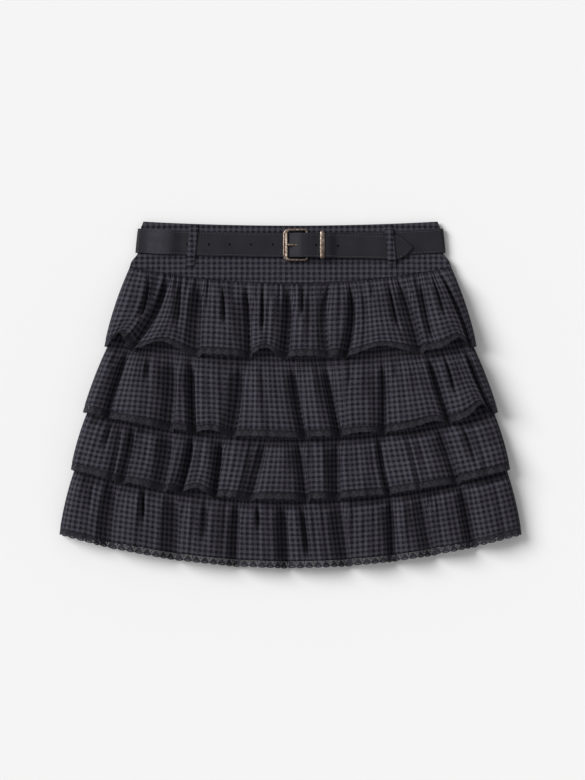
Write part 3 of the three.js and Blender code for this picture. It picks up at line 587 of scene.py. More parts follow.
class Layer:
    """A tier's surface, with columns an even way apart along the cloth at the measured row."""

    def __init__(self, number, side):
        tier = TIERS[number - 1]
        self.number = number
        self.name = f"{number}_{side}"
        self.front = side == "front"
        if self.front:
            folds = table(FOLD_COLUMNS, FRONT_FOLDS[number - 1])
            hem_lift = LAST_HEM_LIFT if number == len(TIERS) else HEM_LIFT
            self.ruffle = Ruffle(tier, folds, tier["left_rise"], FRONT_CROWN, hem_lift)
        else:
            self.ruffle = Ruffle(tier, back_folds(number), 0, BACK_CROWN, 0)
        self.fine_q = np.linspace(0, self.ruffle.last, MEASURED_POINTS)
        self.fine_arc = self.arc_along(MEASURED_ROW)
        self.edge_arc = self.arc_along(EDGE_ROW)

    def arc_along(self, row):
        return run_along(self.points(self.fine_q, np.full_like(self.fine_q, row)))

    def points(self, q, v):
        height = front_height if self.front else back_height
        return together(*height(self.ruffle, self.number, q, v))

    def columns(self, count):
        goals = np.linspace(0, self.fine_arc[-1], count)
        return np.interp(goals, self.fine_arc, self.fine_q), goals

    def flat_size(self):
        """Width along the waves and length from seam to edge, in metres."""
        length = self.ruffle.length(np.array([self.ruffle.last / 2]))
        return self.fine_arc[-1] * MM, float(length[0]) * MM


# Meshes

def add_object(name, data):
    item = bpy.data.objects.new(name, data)
    bpy.context.scene.collection.objects.link(item)
    return item


def mesh_object(name, vertices, faces, uvs=None, flat=None):
    """A mesh from millimetre points and quads, smooth except where flat is true."""
    mesh = bpy.data.meshes.new(name)
    points = (np.reshape(vertices, (-1, 3)) + (0, ORIGIN_Y, 0)) * MM
    mesh.vertices.add(len(points))
    mesh.vertices.foreach_set("co", points.astype(np.float32).ravel())
    mesh.loops.add(faces.size)
    mesh.loops.foreach_set("vertex_index", faces.ravel().astype(np.int32))
    mesh.polygons.add(len(faces))
    starts = np.arange(0, faces.size, faces.shape[1], dtype=np.int32)
    mesh.polygons.foreach_set("loop_start", starts)
    smooth_face = np.ones(len(faces), bool) if flat is None else ~flat
    mesh.polygons.foreach_set("use_smooth", smooth_face)
    if uvs is not None:
        corner_uvs = uvs.reshape(-1, 2)[faces.ravel()] * MM
        layer = mesh.uv_layers.new(name="cloth")
        layer.uv.foreach_set("vector", corner_uvs.astype(np.float32).ravel())
    mesh.update(calc_edges=True)
    mesh.validate()
    return add_object(name, mesh)


def edit_mesh(item, *changes):
    """Runs changes on a mesh in edit form."""
    data = bmesh.new()
    data.from_mesh(item.data)
    for change in changes:
        change(data)
    data.to_mesh(item.data)
    data.free()


def close_ends(data):
    """Caps open rings, and turns all faces outward."""
    bmesh.ops.holes_fill(data, edges=[e for e in data.edges if e.is_boundary], sides=200)
    bmesh.ops.recalc_face_normals(data, faces=data.faces[:])


def mark_sharp(data):
    for face in data.faces:
        face.smooth = True
    for edge in data.edges:
        edge.smooth = edge.calc_face_angle(0) < SHARP_ANGLE


def grid_quads(index):
    """Quads between neighbouring rows and columns of vertex numbers."""
    return np.stack([index[:-1, :-1], index[:-1, 1:], index[1:, 1:], index[1:, :-1]], axis=-1)


def shell(name, upper, lower, uv):
    """A closed thin wall from an upper and a lower grid of points."""
    rows, columns = upper.shape[:2]
    index = np.arange(rows * columns).reshape(rows, columns)
    quads = grid_quads(index).reshape(-1, 4)
    rim = np.concatenate([index[0], index[1:, -1], index[-1, -2::-1], index[-2:0:-1, 0]])
    following = np.roll(rim, -1)
    walls = np.stack([rim, following, following + index.size, rim + index.size], axis=1)
    faces = np.concatenate([quads[:, TURNED_OVER], quads + index.size, walls])
    flat = np.arange(len(faces)) >= 2 * len(quads)
    return mesh_object(name, np.stack([upper, lower]), faces, np.stack([uv, uv]), flat)


def tube_quads(count, around, closed=False):
    """Quads of a tube of sections, which is a ring where closed is true."""
    index = np.arange(count * around).reshape(count, around)
    return grid_quads(np.pad(index, ((0, int(closed)), (0, 1)), mode="wrap")).reshape(-1, 4)


def tube(name, sections, closed=False, uvs=None):
    """A closed body from rows of section points, as a ring or with capped ends."""
    item = mesh_object(name, sections, tube_quads(*sections.shape[:2], closed), uvs)
    edit_mesh(item, close_ends, mark_sharp)
    return item


def rod(name, stops, sides=20, aside=(0, 1, 0)):
    """A closed rod through stops of (x, y, z, half width, half height)."""
    stops = np.asarray(stops, float)
    up = unit(np.cross(unit(np.gradient(stops[:, :3], axis=0)), aside))
    angles = np.linspace(0, 2 * math.pi, sides, endpoint=False)[:, None]
    wide = stops[:, None, 3:4] * np.cos(angles) * np.array(aside, float)
    high = stops[:, None, 4:] * np.sin(angles) * up[:, None]
    return tube(name, stops[:, None, :3] + wide + high)


def pin(name, start, end, radius, sides=24, aside=(0, 1, 0)):
    """A plain cylinder between two points, used to cut."""
    return rod(name, [(*start, radius, radius), (*end, radius, radius)], sides, aside)


def cut(target, cutters):
    """Takes the cutters out of the target."""
    for cutter in cutters:
        change = target.modifiers.new("cut", "BOOLEAN")
        change.operation = "DIFFERENCE"
        change.solver = "EXACT"
        change.object = cutter
        bpy.context.view_layer.update()
        graph = bpy.context.evaluated_depsgraph_get()
        mesh = bpy.data.meshes.new_from_object(target.evaluated_get(graph))
        target.modifiers.clear()
        target.data = mesh
        bpy.data.objects.remove(cutter)
    edit_mesh(target, mark_sharp)


def join(name, items):
    """Joins meshes into one object."""
    data = bmesh.new()
    for item in items:
        data.from_mesh(item.data)
        bpy.data.objects.remove(item)
    mesh = bpy.data.meshes.new(name)
    data.to_mesh(mesh)
    data.free()
    return add_object(name, mesh)


# Tiers and their lace

def grid_normals(grid):
    """Upward normals of a grid with rows running down and columns running right."""
    return unit(np.cross(np.gradient(grid, axis=0), np.gradient(grid, axis=1)))


def tier_piece(layer, columns, rows):
    """The cloth of one tier, from its seam to where the lace is sewn on."""
    q, along = layer.columns(columns)
    length = layer.ruffle.length(q)
    v = np.linspace(0, 1, rows)[:, None] * (1 - LACE_DEPTH / length)
    grid = layer.points(np.broadcast_to(q, v.shape), v)
    step = grid_normals(grid)
    if layer.front:
        inside = smooth(*SIDE_ZONE, layer.ruffle.half(v) - np.abs(grid[..., 0]))
        puckered = (1 - smooth(*PUCKER_ZONE, v)) * inside
        step = -mix(step, np.array([0, 0, 1.0]), puckered[..., None])
    # The wall goes level at the sides, so that front and back stay apart there
    step[:, 0] = (1, 0, 0)
    step[:, -1] = (-1, 0, 0)
    wall = grid + step * CLOTH
    upper, lower = (grid, wall) if layer.front else (wall, grid)
    return shell(f"tier_{layer.name}_cloth", upper, lower, together(along, v * length))


def lace_piece(layer, cell):
    """The lace edging: the chart repeated along the edge, its lower rows bent into scallops."""
    total = layer.edge_arc[-1]
    repeats = round(total / LACE_REPEAT)
    chart = np.array([[mark == "#" for mark in row] for row in LACE_CHART])
    chart_rows, chart_columns = chart.shape
    phase = np.linspace(0, repeats, repeats * round(LACE_REPEAT / cell) + 1)
    q = np.interp(phase / repeats * total, layer.edge_arc, layer.fine_q)
    edge = LACE_VALLEY + LACE_LIP * np.abs(np.sin(math.pi * phase)) ** 0.7
    straight = LACE_STRAIGHT_ROWS * LACE_VALLEY / chart_rows
    row = np.arange(chart_rows + 1)[:, None]
    bent = (row - LACE_STRAIGHT_ROWS) / (chart_rows - LACE_STRAIGHT_ROWS)
    even = row * straight / LACE_STRAIGHT_ROWS
    depth = np.where(row <= LACE_STRAIGHT_ROWS, even, mix(straight, edge, bent))
    depth[0] -= LACE_TUCK
    v = 1 - (LACE_DEPTH - depth) / layer.ruffle.length(q)
    grid = layer.points(np.broadcast_to(q, v.shape), v)
    normals = grid_normals(grid)
    if layer.front:
        upper = grid - normals * (CLOTH - LACE)
        lower = upper - normals * LACE
    else:
        lower = grid + normals * (CLOTH - LACE)
        lower[..., 2] = np.maximum(lower[..., 2], LOWEST)
        upper = lower + normals * LACE
    middle = (phase[:-1] + phase[1:]) / 2
    faces, used = pierced(chart[:, np.floor((middle % 1) * chart_columns).astype(int)])
    vertices = np.stack([upper, lower]).reshape(-1, 3)[used]
    uv = together(phase * LACE_REPEAT, depth)
    uvs = np.stack([uv, uv]).reshape(-1, 2)[used]
    return mesh_object(f"lace_{layer.name}_edging", vertices, faces, uvs)


def pierced(solid):
    """Faces of a thin wall without its open cells, their rims closed, and the points in use."""
    rows, columns = solid.shape
    index = np.arange((rows + 1) * (columns + 1)).reshape(rows + 1, columns + 1)
    quads = grid_quads(index)
    padded = np.pad(solid, 1)
    above, right = padded[:-2, 1:-1], padded[1:-1, 2:]
    below, left = padded[2:, 1:-1], padded[1:-1, :-2]
    walls = []
    for corner, neighbour in enumerate((above, right, below, left)):
        edge = quads[solid & ~neighbour][:, [corner, (corner + 1) % 4]]
        walls.append(np.hstack([edge, edge[:, ::-1] + index.size]))
    faces = np.concatenate([quads[solid][:, TURNED_OVER], quads[solid] + index.size, *walls])
    used, faces = np.unique(faces, return_inverse=True)
    return faces.reshape(-1, 4), used


# Yoke, base and belt loops

def yoke_y(x, down):
    top = arc(WAIST_Y, WAIST_SAG, WAIST_HALF, x)
    return mix(top, arc(YOKE_SEAM_Y, YOKE_SEAM_SAG, YOKE_SEAM_HALF, x), down)


def yoke_profile(down, column, ease=YOKE_EASE):
    """One column of the yoke's sections, with the corners of its line eased and its ends kept."""
    places = [row[0] for row in YOKE_ROWS]
    values = [row[column] for row in YOKE_ROWS]
    shifts = ease * np.linspace(-1, 1, 5)
    eased = sum(np.interp(down + shift, places, values) for shift in shifts) / len(shifts)
    return np.where((down <= 0) | (down >= 1), np.interp(down, places, values), eased)


def yoke_height(x, y, column):
    top = yoke_y(x, 0)
    down = np.clip((top - y) / (top - yoke_y(x, 1)), 0, 1)
    return float(yoke_profile(down, column, ease=0))


def yoke_piece(side):
    front = side == "front"
    down = np.linspace(0, 1, YOKE_GRID[0])[:, None]
    x = yoke_profile(down, 1) * np.linspace(-1, 1, YOKE_GRID[1])
    y = yoke_y(x, down)
    z = yoke_profile(down, 2 if front else 3)
    if front:
        zone = smooth(0.72, 0.85, down) * (1 - smooth(0.97, 1, down))
        z = z + CAD_CLOTH + YOKE_UNEVEN * uneven(x, y, 31) * zone
    upper, lower = (z, z - CLOTH) if front else (z + CLOTH, z)
    uv = together(x, WAIST_Y - y)
    return shell(f"yoke_{side}_cloth", together(x, y, upper), together(x, y, lower), uv)


def base_piece(side):
    down = np.linspace(0, 1, BASE_GRID[0])[:, None]
    x = mix(BASE_TOP_HALF, BASE_HEM_HALF, down) * np.linspace(-1, 1, BASE_GRID[1])
    last = TIERS[-1]
    hem = arc(last["seam_y"], last["seam_sag"], last["seam_half"], x)
    y = mix(yoke_y(x, 1) - SEAM_GAP, hem, down)
    low = BASE_FRONT if side == "front" else BASE_BACK
    upper, lower = together(x, y, low + BASE_CLOTH), together(x, y, low)
    return shell(f"base_{side}_cloth", upper, lower, together(x, -y))


def strip_sides(line, thickness):
    """Both faces of a strip that follows a line of (along, height) points."""
    first = unit(line - np.vstack([line[:1], line[:-1]]))
    second = unit(np.vstack([line[1:], line[-1:]]) - line)
    along = unit(first + second)
    bend = np.maximum(np.maximum((first * along).sum(1), (second * along).sum(1)), 0.5)
    normal = np.stack([-along[:, 1], along[:, 0]], axis=1)
    step = normal * (thickness / 2 / bend)[:, None]
    return line + step, line - step


def at_lengths(lengths, run, points):
    """Points of a line at given lengths along it."""
    return np.stack([np.interp(lengths, run, column) for column in points.T], axis=1)


def soften(line, passes=2):
    """The same line with soft corners, its ends kept."""
    line = np.array(line, float)
    for _ in range(passes):
        line[1:-1] = (line[:-2] + 2 * line[1:-1] + line[2:]) / 4
    return line


def loop_piece(name, top_x, bottom_x, side, strap):
    """A belt loop, sewn on above and below the strap. Side is 1 at the front and -1 at the back."""
    front = side > 0
    middle_x = (top_x + bottom_x) / 2
    strap_y = arc(BELT_Y, BELT_SAG, BELT_ARC_HALF, middle_x)
    lower_y = overlay_y(middle_x) if strap > BELT_FRONT_Z + BELT_THICK else strap_y
    high = strap_y + BELT_WIDTH / 2 + LOOP_ROOM
    low = lower_y - BELT_WIDTH / 2 - LOOP_ROOM
    waist = yoke_y(middle_x, 0) - LOOP_BELOW_WAIST
    step = (SEAM_GAP + CAD_CLOTH / 2) * side
    crossing = (high + LOOP_SLOPES[0], high, (high + low) / 2, low, low - LOOP_SLOPES[1])
    line = []
    for y in (waist, *crossing, LOOP_END_Y + LOOP_TACK, LOOP_END_Y):
        cloth_z = yoke_height(middle_x, y, 2 if front else 3) + (CAD_CLOTH if front else 0)
        line.append((-y, (strap if low <= y <= high else cloth_z) + step))
    line = np.array(line)
    run = run_along(line)
    line = soften(at_lengths(np.linspace(0, run[-1], LOOP_GRID[0]), run, line))
    share = np.linspace(-1, 1, LOOP_GRID[1])
    depth, place, width = LOOP_SEAM
    seams = depth * np.exp(-(((np.abs(share) - place) / width) ** 2))
    raised = LOOP_CROWN * (1 - np.abs(share) ** 4) - seams - LOOP_SUNK
    outer, inner = strip_sides(line, CAD_CLOTH)
    down = (-line[:, :1] - waist) / (LOOP_END_Y - waist)
    x = mix(top_x, bottom_x, down) + share * LOOP_WIDTH / 2
    upper = together(x, -outer[:, :1], outer[:, 1:] + (raised if front else 0))
    lower = together(x, -inner[:, :1], inner[:, 1:] - (0 if front else raised))
    lower[..., 2] = np.maximum(lower[..., 2], LOWEST)
    return shell(f"{name}_cloth", upper, lower, together(x, run_along(line)[:, None]))


# Belt

def turn(centre_x, centre_z, radius, start, stop, steps):
    angles = np.radians(np.linspace(start, stop, steps + 1))
    return [(centre_x + radius * math.cos(a), centre_z + radius * math.sin(a)) for a in angles]


def overlay_y(x):
    """Middle across of the strap's upper layer, which runs straight to its pointed end."""
    return BELT_Y - BELT_TIP_DROP * x / BELT_TIP_X


def belt_line():
    """The strap's middle line as (x, z): its lower layer all round, and then its upper layer."""
    front, back = BELT_FRONT_Z, BELT_BACK_Z
    bend, middle_z = (front - back) / 2, (front + back) / 2
    top = front + BELT_THICK + BELT_LAYER_GAP
    under = [
        (45.8, 8.9), (31, 8.9), (25, 7.9),
        *turn(BAR_X, BAR_Z, WRAP_RADIUS, -90, -270, 14),
        (25, 11.9), (31, 11.1), (46, 11.1), (54.5, front), (100, front), (140, front),
        *turn(BELT_END_X, middle_z, bend, 90, -90, 14),
        (90, back), (0, back), (-90, back),
        *turn(-BELT_END_X, middle_z, bend, 270, 90, 14),
        (-172, front + 0.3), (-142, front + 2.6), (-132, front), (-80, front),
        (-14, front), (-3, front), (1, 8.9), (8, 13.1),
    ]
    over = [
        (13, 14.5), (19.5, 14.85), (26, 14.1), (31, 13.25), (46.4, 13.25), (54.9, top),
        (100, top), (130, top), (BELT_TIP_X, top),
    ]
    return under, over


def dense(line, step):
    """The line with points no further apart than step."""
    out = [line[0]]
    for a, b in zip(line[:-1], line[1:]):
        parts = max(1, math.ceil(math.dist(a, b) / step))
        shares = [i / parts for i in range(1, parts + 1)]
        out += [(mix(a[0], b[0], share), mix(a[1], b[1], share)) for share in shares]
    return out


def belt_stations():
    """Middle line, outward direction, middle across, half width and length run of every section."""
    under, over = belt_line()
    under = dense(under, UNDER_STEP)
    over = dense([under[-1], *over], OVER_STEP)[1:]
    line = soften(under + over)
    on_top = np.arange(len(line)) >= len(under)
    x = line[:, 0]
    centre = np.where(on_top, overlay_y(x), arc(BELT_Y, BELT_SAG, BELT_ARC_HALF, x))
    half = np.where(on_top, np.interp(x, *zip(*TIP_ROWS)), BELT_WIDTH / 2)
    outer, inner = strip_sides(line, 2.0)
    return line, (outer - inner) / 2, centre, half, run_along(line)


def strap_points(across, rise):
    """Points of the strap at places across it and heights over its middle, a row a section."""
    line, normal, centre, _, _ = belt_stations()
    x = (line[:, :1] + normal[:, :1] * rise) * (1 - BELT_FLARE * across)
    return together(x, centre[:, None] + across, line[:, 1:] + normal[:, 1:] * rise)


def belt_section():
    """Across and outward places round the strap's section, stitched channels near both edges."""
    half, thick = BELT_WIDTH / 2, BELT_THICK / 2
    left = [(inset - half, thick + lift) for inset, lift in BELT_EDGE]
    right = [(-across, rise) for across, rise in reversed(left)]
    edge = BELT_ROUNDING - thick
    bottom = [(half, edge), (half - 0.3, -thick), (0, -thick), (0.3 - half, -thick), (-half, edge)]
    return np.array([*left, (0, thick + BELT_CROWN), *right, *bottom])


def belt_piece():
    """The strap, with its punched holes, the slot at the bar and room for the prong."""
    _, _, _, half, run = belt_stations()
    section = belt_section()
    across = section[:, 0] * (half / (BELT_WIDTH / 2))[:, None]
    uvs = together(run[:, None], across)
    strap = tube("belt_strap_leather", strap_points(across, section[:, 1]), uvs=uvs)
    holes = [(x, HOLE_Y, HOLE_LOW) for x in HOLES_SINGLE]
    holes += [(x, overlay_y(x), low) for x, low in HOLES_OVERLAY]
    cutters = [
        pin(f"hole_{x}", (x, y, low), (x, y, low + HOLE_DEPTH), HOLE_RADIUS)
        for x, y, low in holes
    ]
    bar = [(BAR_X, BUCKLE_Y + reach, BAR_Z) for reach in (-SLOT_REACH, SLOT_REACH)]
    slot_radius = WRAP_RADIUS + BELT_THICK / 2 + 0.2
    cutters.append(pin("slot", *bar, slot_radius, 32, (1, 0, 0)))
    cutters.append(pin("prong_room", PRONG_START, PRONG_END, PRONG_ROOM))
    cut(strap, cutters)
    return strap


def thread_row(name, points, ups):
    """A row of short stitches that follow a line of points on a surface."""
    run = run_along(points)
    at = np.linspace(0, 1, STITCH_GRID[0])
    angles = np.linspace(0, 2 * math.pi, STITCH_GRID[1], endpoint=False)[:, None]
    size = STITCH_RADIUS * np.sin(math.pi * np.clip(at, 0.12, 0.88)) ** 0.5
    arch = STITCH_RADIUS * (0.9 * np.sin(math.pi * at) - 0.25)
    quads = tube_quads(*STITCH_GRID)
    vertices, faces = [], []
    for k in range(int(run[-1] // (STITCH_LENGTH + STITCH_GAP))):
        lengths = k * (STITCH_LENGTH + STITCH_GAP) + STITCH_GAP / 2 + at * STITCH_LENGTH
        up = at_lengths(lengths, run, ups)
        line = at_lengths(lengths, run, points) + up * arch[:, None]
        aside = np.cross(unit(line[-1] - line[0]), up[len(at) // 2])
        offset = aside * np.cos(angles) + up[:, None] * np.sin(angles)
        vertices.append(line[:, None] + offset * size[:, None, None])
        faces.append(quads + k * len(at) * len(angles))
    item = mesh_object(name, np.concatenate(vertices), np.concatenate(faces))
    edit_mesh(item, close_ends)
    return item


def belt_stitches():
    """Stitched lines near both edges of the strap and round its point."""
    _, normal, _, half, _ = belt_stations()
    ups = np.stack([normal[:, 0], 0 * half, normal[:, 1]], axis=1)
    rows = []
    for sign in (-1, 1):
        across = sign * np.maximum(half - STITCH_INSET, 0.3)[:, None]
        points = strap_points(across, BELT_THICK / 2 - STITCH_SUNK)[:, 0]
        rows.append(thread_row(f"belt_stitches_{sign}", points[STITCHED], ups[STITCHED]))
    return join("belt_stitches", rows)


def buckle_frame_piece():
    """A closed frame, wide and grooved on the left, with a plain round bar on the right."""
    left, right, high = BUCKLE_LEFT_X, BAR_X, BUCKLE_HALF_HEIGHT
    small, large = FRAME_CORNERS
    path = []

    def corner(radius, cx, cy, start, first, second):
        sizes = [mix(np.array(first), np.array(second), i / 10) for i in range(11)]
        places = turn(cx, cy, radius, start, start + 90, 10)
        for i, (place, size) in enumerate(zip(places, sizes)):
            path.append((*place, math.radians(start + 9 * i), *size))

    def straight(x, y, parts):
        x0, y0, *kept = path[-1]
        for i in range(1, parts):
            path.append((mix(x0, x, i / parts), mix(y0, y, i / parts), *kept))

    corner(small, right - small, high - small, 0, FRAME_BAR, FRAME_SIDE)
    straight(left + large, high, 6)
    corner(large, left + large, high - large, 90, FRAME_SIDE, FRAME_WIDE)
    straight(left, large - high, 10)
    corner(large, left + large, large - high, 180, FRAME_WIDE, FRAME_SIDE)
    straight(right - small, -high, 6)
    corner(small, right - small, small - high, 270, FRAME_SIDE, FRAME_BAR)
    straight(right, high - small, 10)
    x, y, facing, half_wide, half_high, groove = np.array(path).T[:, :, None]
    around = np.linspace(0, 2 * math.pi, 20, endpoint=False)
    flat = np.sign(np.cos(around)) * np.abs(np.cos(around)) ** 0.85
    dip = groove * np.exp(-(((around - math.pi / 2) / 0.33) ** 2))
    middle_z = mix(BUCKLE_LEFT_Z, BAR_Z, np.clip((x - left) / (right - left), 0, 1))
    out = half_wide * flat
    z = middle_z + half_high * np.sin(around) - dip
    sections = together(x + np.cos(facing) * out, BUCKLE_Y + y + np.sin(facing) * out, z)
    return tube("buckle_frame_metal", sections, closed=True)


def buckle_prong_piece():
    """The prong: an eye bent round the bar, and a shank with a blunt, slightly wider tip."""
    bend = turn(BAR_X, BAR_Z, EYE_RADIUS, *EYE_ARC, 32)
    eye = [(x, BUCKLE_Y, z, *EYE_SIZE) for x, z in bend]
    start, end = np.array(PRONG_START), np.array(PRONG_END)
    shank = [(*mix(start, end, share), wide, high) for share, wide, high in SHANK_ROWS]
    return join("buckle_prong_metal", [rod("eye", eye), rod("shank", shank)])


def keeper_piece():
    """A flat metal loop with a rounded, slightly swelling face."""
    low, high, bottom, top = KEEPER_BOX
    corner = KEEPER_CORNER
    path = [
        *turn(high - corner, top - corner, corner, 0, 90, 6),
        *[(mix(high - corner, low + corner, i / 12), top) for i in range(1, 12)],
        *turn(low + corner, top - corner, corner, 90, 180, 6),
        *turn(low + corner, bottom + corner, corner, 180, 270, 6),
        *[(mix(low + corner, high - corner, i / 8), bottom) for i in range(1, 8)],
        *turn(high - corner, bottom + corner, corner, 270, 360, 6),
    ]
    line = np.array(path)
    tangent = unit(np.roll(line, -1, axis=0) - np.roll(line, 1, axis=0))
    y, z = line.T[:, :, None]
    across, out = np.array(KEEPER_PROFILE).T
    from_middle = (y - (low + high) / 2) / (high - low)
    swell = 1 - KEEPER_SWELL + KEEPER_SWELL * np.cos(from_middle * math.pi)
    x = KEEPER_X + across * swell
    sections = together(x, y + tangent[:, 1:] * out, z - tangent[:, :1] * out)
    return tube("belt_keeper_metal", sections, closed=True)


# Materials

def operator(operation, reflected=False):
    """A method for one operator, which adds a math node."""
    def method(self, other):
        values = (other, self) if reflected else (self, other)
        return self.finish.node("ShaderNodeMath", {"operation": operation}, values)
    return method


class Value:
    """A number on the surface. Arithmetic on it adds the nodes."""

    def __init__(self, finish, socket):
        self.finish = finish
        self.socket = socket

    def other_output(self, name):
        return Value(self.finish, self.socket.node.outputs[name])

    def turned(self, operation):
        """The value after a math node of one input."""
        return self.finish.node("ShaderNodeMath", {"operation": operation}, [self])

    def ramped(self, start, stop, **settings):
        """The value from 0 at start to 1 at stop."""
        return self.finish.node("ShaderNodeMapRange", settings, {0: self, 1: start, 2: stop})

    __add__ = operator("ADD")
    __radd__ = operator("ADD", reflected=True)
    __sub__ = operator("SUBTRACT")
    __rsub__ = operator("SUBTRACT", reflected=True)
    __mul__ = operator("MULTIPLY")
    __rmul__ = operator("MULTIPLY", reflected=True)
    __truediv__ = operator("DIVIDE")
    __mod__ = operator("FLOORED_MODULO")
    __lt__ = operator("LESS_THAN")


class Finish:
    """A material with one principled shader."""

    def __init__(self, name, **constants):
        self.material = bpy.data.materials.new(name)
        self.material.use_nodes = True
        self.tree = self.material.node_tree
        self.shader = self.tree.nodes["Principled BSDF"]
        for socket, value in constants.items():
            self.set(socket.replace("_", " "), value)

    def node(self, kind, settings, values, output=0):
        """Adds a node: settings first, then its inputs by place or by name."""
        node = self.tree.nodes.new(kind)
        for key, setting in settings.items():
            if key == "stops":
                self.ramp(node, setting)
            else:
                setattr(node, key, setting)
        pairs = values.items() if isinstance(values, dict) else enumerate(values)
        for place, value in pairs:
            self.feed(node.inputs[place], value)
        return Value(self, node.outputs[output])

    @staticmethod
    def ramp(node, stops):
        elements = node.color_ramp.elements
        while len(elements) < len(stops):
            elements.new(0.5)
        for element, (place, colour) in zip(elements, stops):
            element.position = place
            element.color = (*colour, 1)

    def feed(self, socket, value):
        if isinstance(value, Value):
            self.tree.links.new(value.socket, socket)
        else:
            socket.default_value = value

    def set(self, socket, value):
        self.feed(self.shader.inputs[socket], value)

    def uv(self):
        """Places on the cloth in millimetres, across and down."""
        place = self.node("ShaderNodeUVMap", {"uv_map": "cloth"}, [])
        across = self.node("ShaderNodeSeparateXYZ", {}, [place])
        return across * (1 / MM), across.other_output("Y") * (1 / MM)

    def object_place(self):
        return self.node("ShaderNodeTexCoord", {}, [], output=3)

    def noise(self, vector, scale, detail=3.0, roughness=0.5):
        values = {"Vector": vector, "Scale": scale, "Detail": detail, "Roughness": roughness}
        return self.node("ShaderNodeTexNoise", {}, values)

    def colour_mix(self, factor, first, second):
        settings = {"data_type": "RGBA", "blend_type": "MIX"}
        values = {0: factor, 6: (*first, 1), 7: (*second, 1)}
        return self.node("ShaderNodeMix", settings, values, output=2)

    def colour_ramp(self, factor, stops):
        return self.node("ShaderNodeValToRGB", {"stops": stops}, {"Fac": factor})

    def bump(self, height, strength, distance):
        values = {"Height": height, "Strength": strength, "Distance": distance}
        self.set("Normal", self.node("ShaderNodeBump", {}, values))


def check_cloth(name, light, dark):
    """A soft broken check: eight light and eight dark threads each way, woven two over, two under."""
    finish = Finish(name, Roughness=0.95, Specular_IOR_Level=0.06)
    across, down = finish.uv()
    warp = across / WARP_THREAD
    weft = down / WEFT_THREAD
    floor_warp = warp.turned("FLOOR")
    floor_weft = weft.turned("FLOOR")
    over = ((floor_warp - floor_weft) % 4.0) < 2.0
    warp_dark = (floor_warp % CHECK_THREADS) < CHECK_THREADS / 2
    weft_dark = (floor_weft % CHECK_THREADS) < CHECK_THREADS / 2
    darkness = over * warp_dark + (1 - over) * weft_dark
    place = finish.object_place()
    melange = finish.noise(place, 2600.0, 2.0)
    slub = finish.noise(place, 620.0, 2.0)
    cloud = finish.noise(place, 26.0, 2.0)
    tone = darkness * 0.88 + 0.09 + (melange - 0.5) * 0.5 + (slub - 0.5) * 1.5 + (cloud - 0.5) * 0.16
    finish.set("Base Color", finish.colour_mix(tone, light, dark))
    warp_rib = (warp * (2 * math.pi)).turned("SINE")
    weft_rib = (weft * (2 * math.pi)).turned("SINE")
    ribs = warp_rib * over + weft_rib * (1 - over)
    finish.bump(ribs * 0.5 + melange, 0.35, 0.00012)
    return finish.material


def fibre_finish(name, dark, light, scale, detail, bump=0.0, **constants):
    """One colour with a fine fibre in it."""
    finish = Finish(name, **constants)
    fibre = finish.noise(finish.object_place(), scale, detail)
    finish.set("Base Color", finish.colour_mix(fibre, dark, light))
    if bump:
        finish.bump(fibre, bump, 0.0002)
    return finish.material


def lace_thread(name, dark, light):
    """Fine twisted cotton: short ribs and a little fuzz."""
    finish = Finish(name, Roughness=0.85, Specular_IOR_Level=0.12)
    across, down = finish.uv()
    fuzz = finish.noise(finish.object_place(), 800.0, 3.0)
    ribs = ((across + down * 0.6) * (2 * math.pi / 0.9)).turned("SINE") * 0.5 + 0.5
    cross = ((across * 0.3 - down) * (2 * math.pi / 1.1)).turned("SINE") * 0.5 + 0.5
    thread = ribs * 0.4 + cross * 0.3 + fuzz * 1.6 - 0.6
    finish.set("Base Color", finish.colour_mix(thread, dark, light))
    finish.bump(thread, 0.6, 0.0003)
    return finish.material


def belt_leather(name):
    """Smooth black leather: fine grain, a faint cloudy polish, worn-in edges, and a painted sheen at
    the strap's left end.
    """
    finish = Finish(name, Specular_IOR_Level=0.24)
    _, across = finish.uv()
    place = finish.object_place()
    cells = {"Vector": place, "Scale": 1500.0}
    grain = finish.node("ShaderNodeTexVoronoi", {"feature": "SMOOTH_F1"}, cells)
    polish = finish.noise(place, 60.0, 4.0)
    fine = finish.noise(place, 5000.0, 2.0)
    near_edge = across.turned("ABSOLUTE").ramped(12.6, 14.4)
    x = finish.node("ShaderNodeSeparateXYZ", {}, [place])
    # Painted sheen: the base colour is made lighter over the strap's left end, in place of the gloss
    # where it bends round the side
    inner = x.ramped(*PAINTED_SHEEN_INNER, interpolation_type="SMOOTHSTEP")
    outer = x.ramped(*PAINTED_SHEEN_OUTER, interpolation_type="SMOOTHSTEP")
    painted_sheen = inner * outer * (0.4 + polish)
    shade = (polish - 0.5) * 1.6 + 0.3 + fine * 0.25 + near_edge * 0.25 + painted_sheen * 1.3
    finish.set("Base Color", finish.colour_ramp(shade * 0.5, LEATHER_STOPS))
    finish.set("Roughness", 0.5 + polish * 0.24)
    finish.bump(grain * 0.6 + fine * 0.2, 0.25, 0.00018)
    return finish.material


def aged_metal(name):
    """Brushed nickel with a warm patina in random patches."""
    finish = Finish(name, Metallic=1.0)
    place = finish.object_place()
    patches = finish.noise(place, 420.0, 4.0, 0.65)
    brushed = finish.noise(place, 2400.0, 2.0)
    finish.set("Base Color", finish.colour_ramp(patches, METAL_STOPS))
    finish.set("Roughness", 0.26 + patches * 0.2 + brushed * 0.08)
    finish.bump(patches * 0.6 + brushed * 0.3, 0.3, 0.0002)
    return finish.material


# Camera, light and ground

def make_camera():
    data = bpy.data.cameras.new("camera")
    data.lens = LENS
    data.sensor_width = SENSOR
    data.clip_end = 20
    camera = add_object("camera", data)
    distance = FIELD_HEIGHT * LENS / SENSOR
    camera.location = (LOOK_AT[0] * MM, (LOOK_AT[1] + ORIGIN_Y) * MM, distance * MM)
    bpy.context.scene.camera = camera


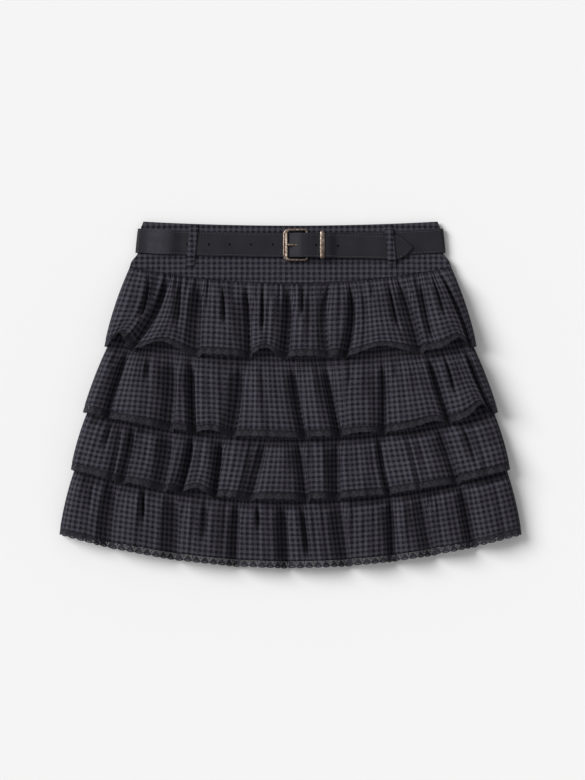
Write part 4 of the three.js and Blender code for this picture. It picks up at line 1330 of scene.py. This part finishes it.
def soft_sun(name, direction, spread, strength):
    """A wide soft lamp, far away, that shines from the given direction."""
    data = bpy.data.lights.new(name, "SUN")
    data.angle = math.radians(spread)
    data.energy = strength
    light = add_object(name, data)
    light.location = direction
    light.rotation_euler = (-Vector(direction)).to_track_quat("-Z", "Y").to_euler()


def make_stage():
    """Even light from all round, one soft sun, and pale ground."""
    scene = bpy.context.scene
    scene.world = bpy.data.worlds.new("studio")
    scene.world.use_nodes = True
    background = scene.world.node_tree.nodes["Background"]
    background.inputs["Color"].default_value = (1, 1, 1, 1)
    background.inputs["Strength"].default_value = SKY_STRENGTH
    soft_sun("key", SUN_FROM, SUN_SPREAD, SUN_STRENGTH)
    reach = GROUND_REACH
    corners = [(-reach, -reach, 0), (reach, -reach, 0), (reach, reach, 0), (-reach, reach, 0)]
    mesh = bpy.data.meshes.new("ground")
    mesh.from_pydata(corners, [], [(0, 1, 2, 3)])
    ground = add_object("ground", mesh)
    finish = Finish("ground", Roughness=0.95, Specular_IOR_Level=0.1)
    finish.set("Base Color", (0.8, 0.8, 0.8, 1))
    ground.data.materials.append(finish.material)
    ground.location.z = -0.0001
    scene.view_settings.view_transform = "Standard"


# Assembly

def dress(piece, finish, slot, *nodes):
    """Gives a piece its finish, its place in the model and the nodes that it stands for."""
    piece.data.materials.clear()
    piece.data.materials.append(finish)
    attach(piece, "root")
    if nodes:
        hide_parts(*nodes)
    return piece


make_camera()
make_stage()

cloth = check_cloth("check cloth", LIGHT_THREAD, DARK_THREAD)
base_cloth = fibre_finish(
    "base cloth", *BASE_COLOURS, 1500.0, 3.0, bump=0.4, Roughness=0.95, Specular_IOR_Level=0.06
)
lace = lace_thread("lace thread", *LACE_COLOURS)
leather = belt_leather("belt leather")
metal = aged_metal("buckle metal")
thread = fibre_finish("belt thread", *THREAD_COLOURS, 4000.0, 2.0, Roughness=0.6)

for number in range(1, len(TIERS) + 1):
    for side in SIDES:
        layer = Layer(number, side)
        piece = tier_piece(layer, *CLOTH_GRIDS[side])
        dress(piece, cloth, "check_cloth", f"tier_{layer.name}")
        edging = lace_piece(layer, LACE_CELLS[side])
        dress(edging, lace, "lace", f"lace_{layer.name}")
        flat = layer.flat_size()

yoke_loops = {side: [] for side in SIDES}
for row in LOOP_ROWS:
    piece = loop_piece(*row)
    dress(piece, cloth, "check_cloth", row[0])
    yoke_loops["front" if row[3] > 0 else "back"].append(piece)

for side in SIDES:
    piece = yoke_piece(side)
    dress(piece, cloth, "check_cloth", f"yoke_{side}")
    piece = base_piece(side)
    dress(piece, base_cloth, "base_cloth", f"base_{side}")

dress(belt_piece(), leather, "leather", "belt_strap")
dress(belt_stitches(), thread, "leather")
dress(buckle_frame_piece(), metal, "buckle_metal", "buckle_frame")
dress(buckle_prong_piece(), metal, "buckle_metal", "buckle_prong")
dress(keeper_piece(), metal, "buckle_metal", "belt_keeper")
